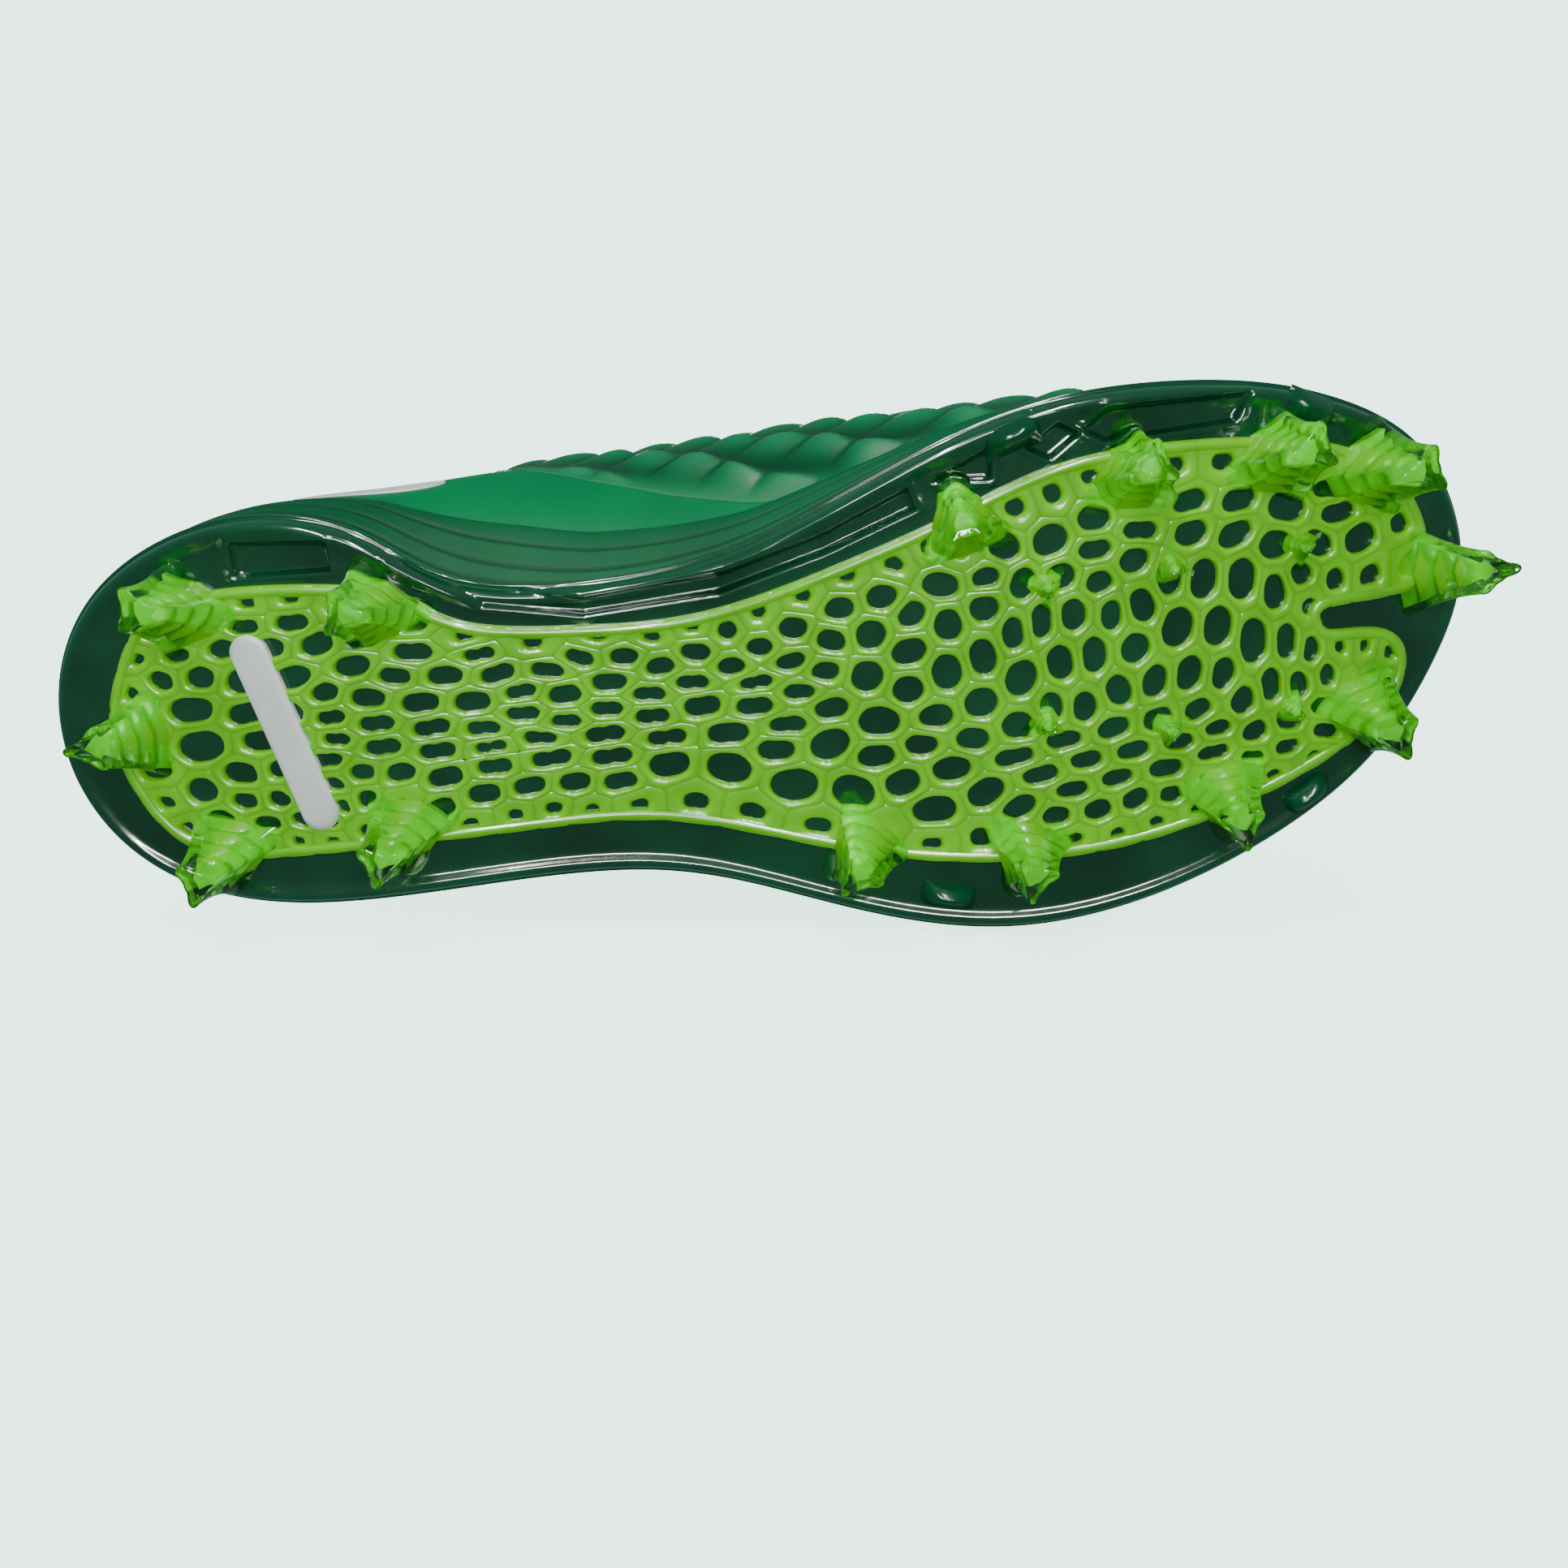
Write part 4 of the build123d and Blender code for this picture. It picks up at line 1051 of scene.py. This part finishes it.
class BOOT_OT_badges(BuildPiece, bpy.types.Operator):
    """A plain white pill on the heel and a plain white oval on the inner quarter"""
    bl_idname = "boot.badges"
    bl_label = "Badges"

    def build(self, s):
        """The pill: a straight slot with round ends, drawn out from its middle and domed."""
        turns = np.linspace(0, 2 * np.pi, 96, endpoint=False)
        u, v = np.meshgrid(np.linspace(0, 1, 13), turns, indexing="ij")
        straight, radius = 17.6, 3.8
        cap = np.clip(np.cos(v) * 1e3, -1, 1) * straight
        a, b = u * (cap + radius * np.cos(v)), u * radius * np.sin(v)
        turn = math.radians(78)
        x = 46.5 + a * math.cos(turn) - b * math.sin(turn)
        y = 3 + a * math.sin(turn) + b * math.cos(turn)
        dome = 1.75 - 0.5 * u ** 6
        top = np.stack([x, y, sole_height(x) - dome], -1)
        side = top[-1:].copy()
        side[..., 2] += 1.6
        points = np.concatenate([top, side], 0)
        grid_piece("heel_badge_print", points, material("white"), wrap_columns=True,
                   slot="white_print", replaces=("heel_badge",), merge=0.002)
        self.quarter_patch()

    def quarter_patch(self):
        """A plain white oval printed on the inner quarter, by the formula of an ellipse."""
        centre, half_length, centre_height, half_height = 22.0, 0.75, 0.40, 0.055
        t = np.linspace(centre - half_length, centre + half_length, 90)
        half = half_height * np.sqrt(np.clip(1 - ((t - centre) / half_length) ** 2, 0.002, 1))
        panel("quarter_patch", t, lambda u: centre_height - half, lambda u: centre_height + half,
              24, 0.35, "white", slot="white_print", skirt=0.5, merge=0.002)


class BOOT_OT_upper(BuildPiece, bpy.types.Operator):
    """Rand, quarters, quilted vamp, heel panel and eyestays"""
    bl_idname = "boot.upper"
    bl_label = "Upper"

    def build(self, s):
        """Sheets of the upper's surface, one over the other."""
        self.skin(s)
        self.rand()
        self.heel()
        self.stays()

    def band_line(self, t):
        """Height share where the quilted vamp meets the smooth quarter."""
        return np.interp(folded(t), [0, 4.7, 5.0, 5.5, 6.0, 6.5, 7.0, 7.6, 13],
                         [1.0, 1.0, 0.66, 0.42, 0.29, 0.19, 0.11, 0.03, 0.0])

    def skin(self, s):
        """The quilted vamp forward of the band line, and the smooth quarters behind it."""
        t = np.linspace(4.7, LOOP - 4.7, 960)
        panel("vamp_skin", t, lambda u: np.clip(self.band_line(u) - 0.02, 0, 1), np.ones_like,
              110, 0.1, "vamp", relief=self.quilt(s), slot="vamp_skin",
              replaces=("vamp", "toe_puff"), merge=0.004)
        for name, side in (("quarter_outer", 1), ("quarter_inner", -1)):
            panel(name + "_skin", side_stations(1.3, 9.5, 420, side), np.zeros_like,
                  lambda u: np.clip(self.band_line(u) + 0.03, 0.05, 1), 60, 0.0, "band",
                  slot="quarter_skin", replaces=(name,), merge=0.004)

    def quilt(self, s):
        """Scales in slanting rows.

        Along one slant each scale climbs slowly and drops steeply, like a
        sawtooth with soft corners; along the other it follows half a sine.  The
        relief dies away at the border, at the toe and under the stays."""
        def relief(t, v, p, share):
            """Height of the scales, and how near each place is to a crest, which sets the painted light and
            shade.
            """
            a = p[..., 0] / 19.0
            b = v * 6.5
            one, two = a + b + 0.06 * np.sin(a * 5), a - b
            f1, f2 = one - np.floor(one), two - np.floor(two)
            rise = smoothstep(0.0, 0.8, f1) * (1 - smoothstep(0.86, 1.0, f1))
            crest = rise * np.sin(np.pi * np.clip(f2, 0, 1)) ** 0.55
            fade = smoothstep(0.0, 0.1, share) * (1 - smoothstep(9.8, 11.9, folded(t)))
            fade = fade * (1 - 0.85 * smoothstep(0.86, 0.94, v))
            # Where the relief fades out, the colour keeps most of the crests' painted light.
            return s.relief_depth * fade * crest, {"crest": np.clip(crest * fade + (1 - fade) * 0.9, 0, 1)}
        return relief

    def rand_top(self, t):
        """Height share of the rand's upper edge, which falls from the heel to the toe."""
        return np.interp(folded(t), [0, 2, 3, 3.8, 4.5, 5.5, 6, 7, 8, 13],
                         [0.30, 0.33, 0.33, 0.28, 0.21, 0.15, 0.11, 0.07, 0.06, 0.06])

    def rand(self):
        """The moulded band round the foot, with long curved grooves, in four parts."""
        parts = [("rand_heel", -2.6, 2.6), ("rand_outer", 2.6, 8.9), ("rand_toe", 8.9, LOOP - 8.9),
                 ("rand_inner", LOOP - 8.9, LOOP - 2.6)]

        def grooves(t, v, p, share):
            """Depth of three wavy grooves and of the round upper edge, and where painted shade darkens the
            grooves.
            """
            fold = folded(t)
            x = p[..., 0]
            lines = [0.72 + 0.10 * np.sin(x / 27), 0.45 + 0.18 * np.sin(x / 34 + 1.0),
                     0.30 + 0.2 * np.sin(x / 45 + 2.2)]
            cut = sum(bell(share, line, 0.022) for line in lines)
            cut = np.clip(cut, 0, 1) * smoothstep(2.2, 3.0, fold) * (1 - smoothstep(7.4, 8.4, fold))
            # The second value is where painted shade darkens the grooves.
            return -0.4 * cut - 0.54 * share ** 8, {"groove_shade": cut * 0.8}

        for name, start, end in parts:
            t = np.linspace(start, end, int(60 * (end - start)))
            panel(name + "_band", t, lambda u: 0 * u, self.rand_top, 42, 1.0, "rand", relief=grooves,
                  slot="rand_skin", replaces=(name,), skirt=1.8, merge=0.004)

    def heel(self):
        """A raised panel over the back of the heel, highest at the collar."""
        t = np.linspace(-2.1, 2.1, 160)
        panel("heel_panel_skin", t, lambda u: 0.1 + 0 * u, lambda u: 1 - 0.02 * np.abs(u), 60, 0.7, "band",
              slot="quarter_skin", replaces=("heel_panel", "heel_counter"), skirt=1.2, merge=0.004)

    def stays(self):
        """Raised eyelet stays beside the throat.

        Six eyelets are pressed in along each by a smooth step of the distance
        from their middles, and two rows of stitches are bells across and waves
        along the stay.  The stays narrow towards the toe."""
        def punched(t, v, p, share):
            """Depth of the eyelets and of the stitches, and where painted shade darkens them."""
            edge = np.linalg.norm(p - p[:, -1:], axis=-1)
            hole = 0 * v
            for x in EYELETS:
                away = np.hypot(p[..., 0] - x, edge - EYELET_INSET)
                hole = np.maximum(hole, 1 - smoothstep(EYELET_RADIUS - 0.3, EYELET_RADIUS + 0.3, away))
            dash = smoothstep(-0.3, 0.1, np.sin(p[..., 0] * STITCH_PITCH))
            rows = sum(bell(edge, row, STITCH_WIDTH) for row in STITCH_ROWS)
            # The values mark where painted shade darkens the eyelets and the stitch rows.
            return -1.3 * hole - 0.25 * dash * rows, {"hole": hole, "groove_shade": np.clip(dash * rows, 0, 1)}

        def low(t):
            """Height share of the stay's lower edge."""
            return 0.85 + 0.135 * smoothstep(8.3, 9.7, folded(t)) ** 1.5

        for name, side in (("eyestay_outer", 1), ("eyestay_inner", -1)):
            t = side_stations(5.3, 9.75, 460, side)
            panel(name + "_skin", t, low, np.ones_like, 48, 1.5, "band", relief=punched,
                  slot="quarter_skin", replaces=(name,), skirt=1.8, merge=0.004)


class BOOT_OT_lining(BuildPiece, bpy.types.Operator):
    """Lining and padded collar"""
    bl_idname = "boot.lining"
    bl_label = "Lining and collar"

    def build(self, s):
        """The upper's surface moved inward, further below the collar, where it is padded."""
        full = np.linspace(0, LOOP, 700, endpoint=False)
        t, h = np.meshgrid(full, np.linspace(0, 1, 60), indexing="ij")
        p, n = upper_point(t, h)
        pad = 2.2 + 2.4 * bell(h, 0.86, 0.12) * (folded(t) < 5.8)
        grid_piece("lining_skin", p - n * pad[..., None], material("lining"), wrap_rows=True,
                   slot="lining_mesh", replaces=("lining_heel", "lining_forefoot"), merge=0.004)
        self.collar()

    def collar(self):
        """A soft roll along the collar: a round section carried along the top line."""
        t = np.linspace(-5.75, 5.75, 420)
        turn = np.linspace(0, 2 * np.pi, 22, endpoint=False)
        p, n = upper_point(t, np.full_like(t, 0.995))
        low, _ = upper_point(t, np.full_like(t, 0.93))
        up = p - low
        up /= np.linalg.norm(up, axis=1, keepdims=True)
        centre = p - n * 1.7 - up * 1.2
        size = 2.9 * np.clip((5.8 - np.abs(t)) / 0.5, 0.15, 1) ** 0.5
        ring = (n[:, None] * np.cos(turn)[None, :, None] * 0.95 + up[:, None] * np.sin(turn)[None, :, None])
        points = centre[:, None] + ring * size[:, None, None]
        roll = grid_piece("collar_roll", points, material("lining"), wrap_columns=True, flip=True,
                          slot="lining_mesh")


class BOOT_OT_tongue(BuildPiece, bpy.types.Operator):
    """Padded tongue that fills the throat"""
    bl_idname = "boot.tongue"
    bl_label = "Tongue"

    def build(self, s):
        """A superellipse section carried up the throat, wider at the top."""
        line = np.array([(84, 118.5), (96, 112.5), (112, 106), (140, 96), (170, 84), (199, 73)], float)
        u = np.linspace(0, 5, 160)
        path = spline_value(line, u, False)
        x, z = path[:, 0], path[:, 1] - 2.6
        throat = np.array([(70, 3.8, 14), (108, 4, 13.2), (130, 5, 11.4),
                           (155, 6, 8.9), (180, 7, 6.6), (198, 7, 4.2)])
        y = np.interp(x, throat[:, 0], throat[:, 1])
        half = np.interp(x, throat[:, 0], throat[:, 2]) - 0.5
        ends = np.clip(np.minimum(u, 5 - u) / 0.12, 0.02, 1) ** 0.45
        a = np.linspace(0, 2 * np.pi, 64, endpoint=False)
        c, si = np.cos(a), np.sin(a)
        across = np.sign(c) * np.abs(c) ** 0.55
        depth = np.sign(si) * np.abs(si) ** 0.8
        slope = np.gradient(path, axis=0)
        slope /= np.linalg.norm(slope, axis=1, keepdims=True)
        thick = (2.5 * ends)[:, None] * depth[None]
        crown = -0.6 * (across[None] ** 2) * (depth[None] > 0)
        lift = thick + crown
        px = x[:, None] - slope[:, 1:2] * lift
        pz = z[:, None] + slope[:, 0:1] * lift
        py = y[:, None] + (half * ends ** 0.5)[:, None] * across[None]
        pad = grid_piece("tongue_form", np.stack([px, py, pz], -1), material("tongue"), body="tongue",
                         wrap_columns=True, slot="tongue_skin",
                         replaces=("tongue_shell", "tongue_foam", "tongue_lining"))


class BOOT_PT_panel(bpy.types.Panel):
    """Lists the boot's operators"""
    bl_idname = "BOOT_PT_panel"
    bl_label = "Football boot"
    bl_space_type = "VIEW_3D"
    bl_region_type = "UI"
    bl_category = "Boot"

    def draw(self, context):
        for operator in OPERATORS:
            self.layout.operator(operator.bl_idname)


OPERATORS = [BOOT_OT_stage, BOOT_OT_plate, BOOT_OT_lattice, BOOT_OT_studs, BOOT_OT_fins, BOOT_OT_badges,
             BOOT_OT_upper, BOOT_OT_lining, BOOT_OT_tongue]
CLASSES = [BootSettings] + OPERATORS + [BOOT_PT_panel]


def register():
    for item in CLASSES:
        bpy.utils.register_class(item)
    bpy.types.Scene.boot_settings = bpy.props.PointerProperty(type=BootSettings)


def unregister():
    del bpy.types.Scene.boot_settings
    for item in reversed(CLASSES):
        bpy.utils.unregister_class(item)


def finish_cad_nodes():
    """Give the CAD nodes that stay in sight their own materials."""
    finishes = {"lasting_board": "board", "sockliner": "liner"}
    for node, key in finishes.items():
        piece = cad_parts[node]
        piece.data.materials.clear()
        piece.data.materials.append(material(key))


def main():
    register()
    for operator in OPERATORS:
        group, name = operator.bl_idname.split(".")
        getattr(getattr(bpy.ops, group), name)()
    finish_cad_nodes()


if __name__ == "__main__":
    main()
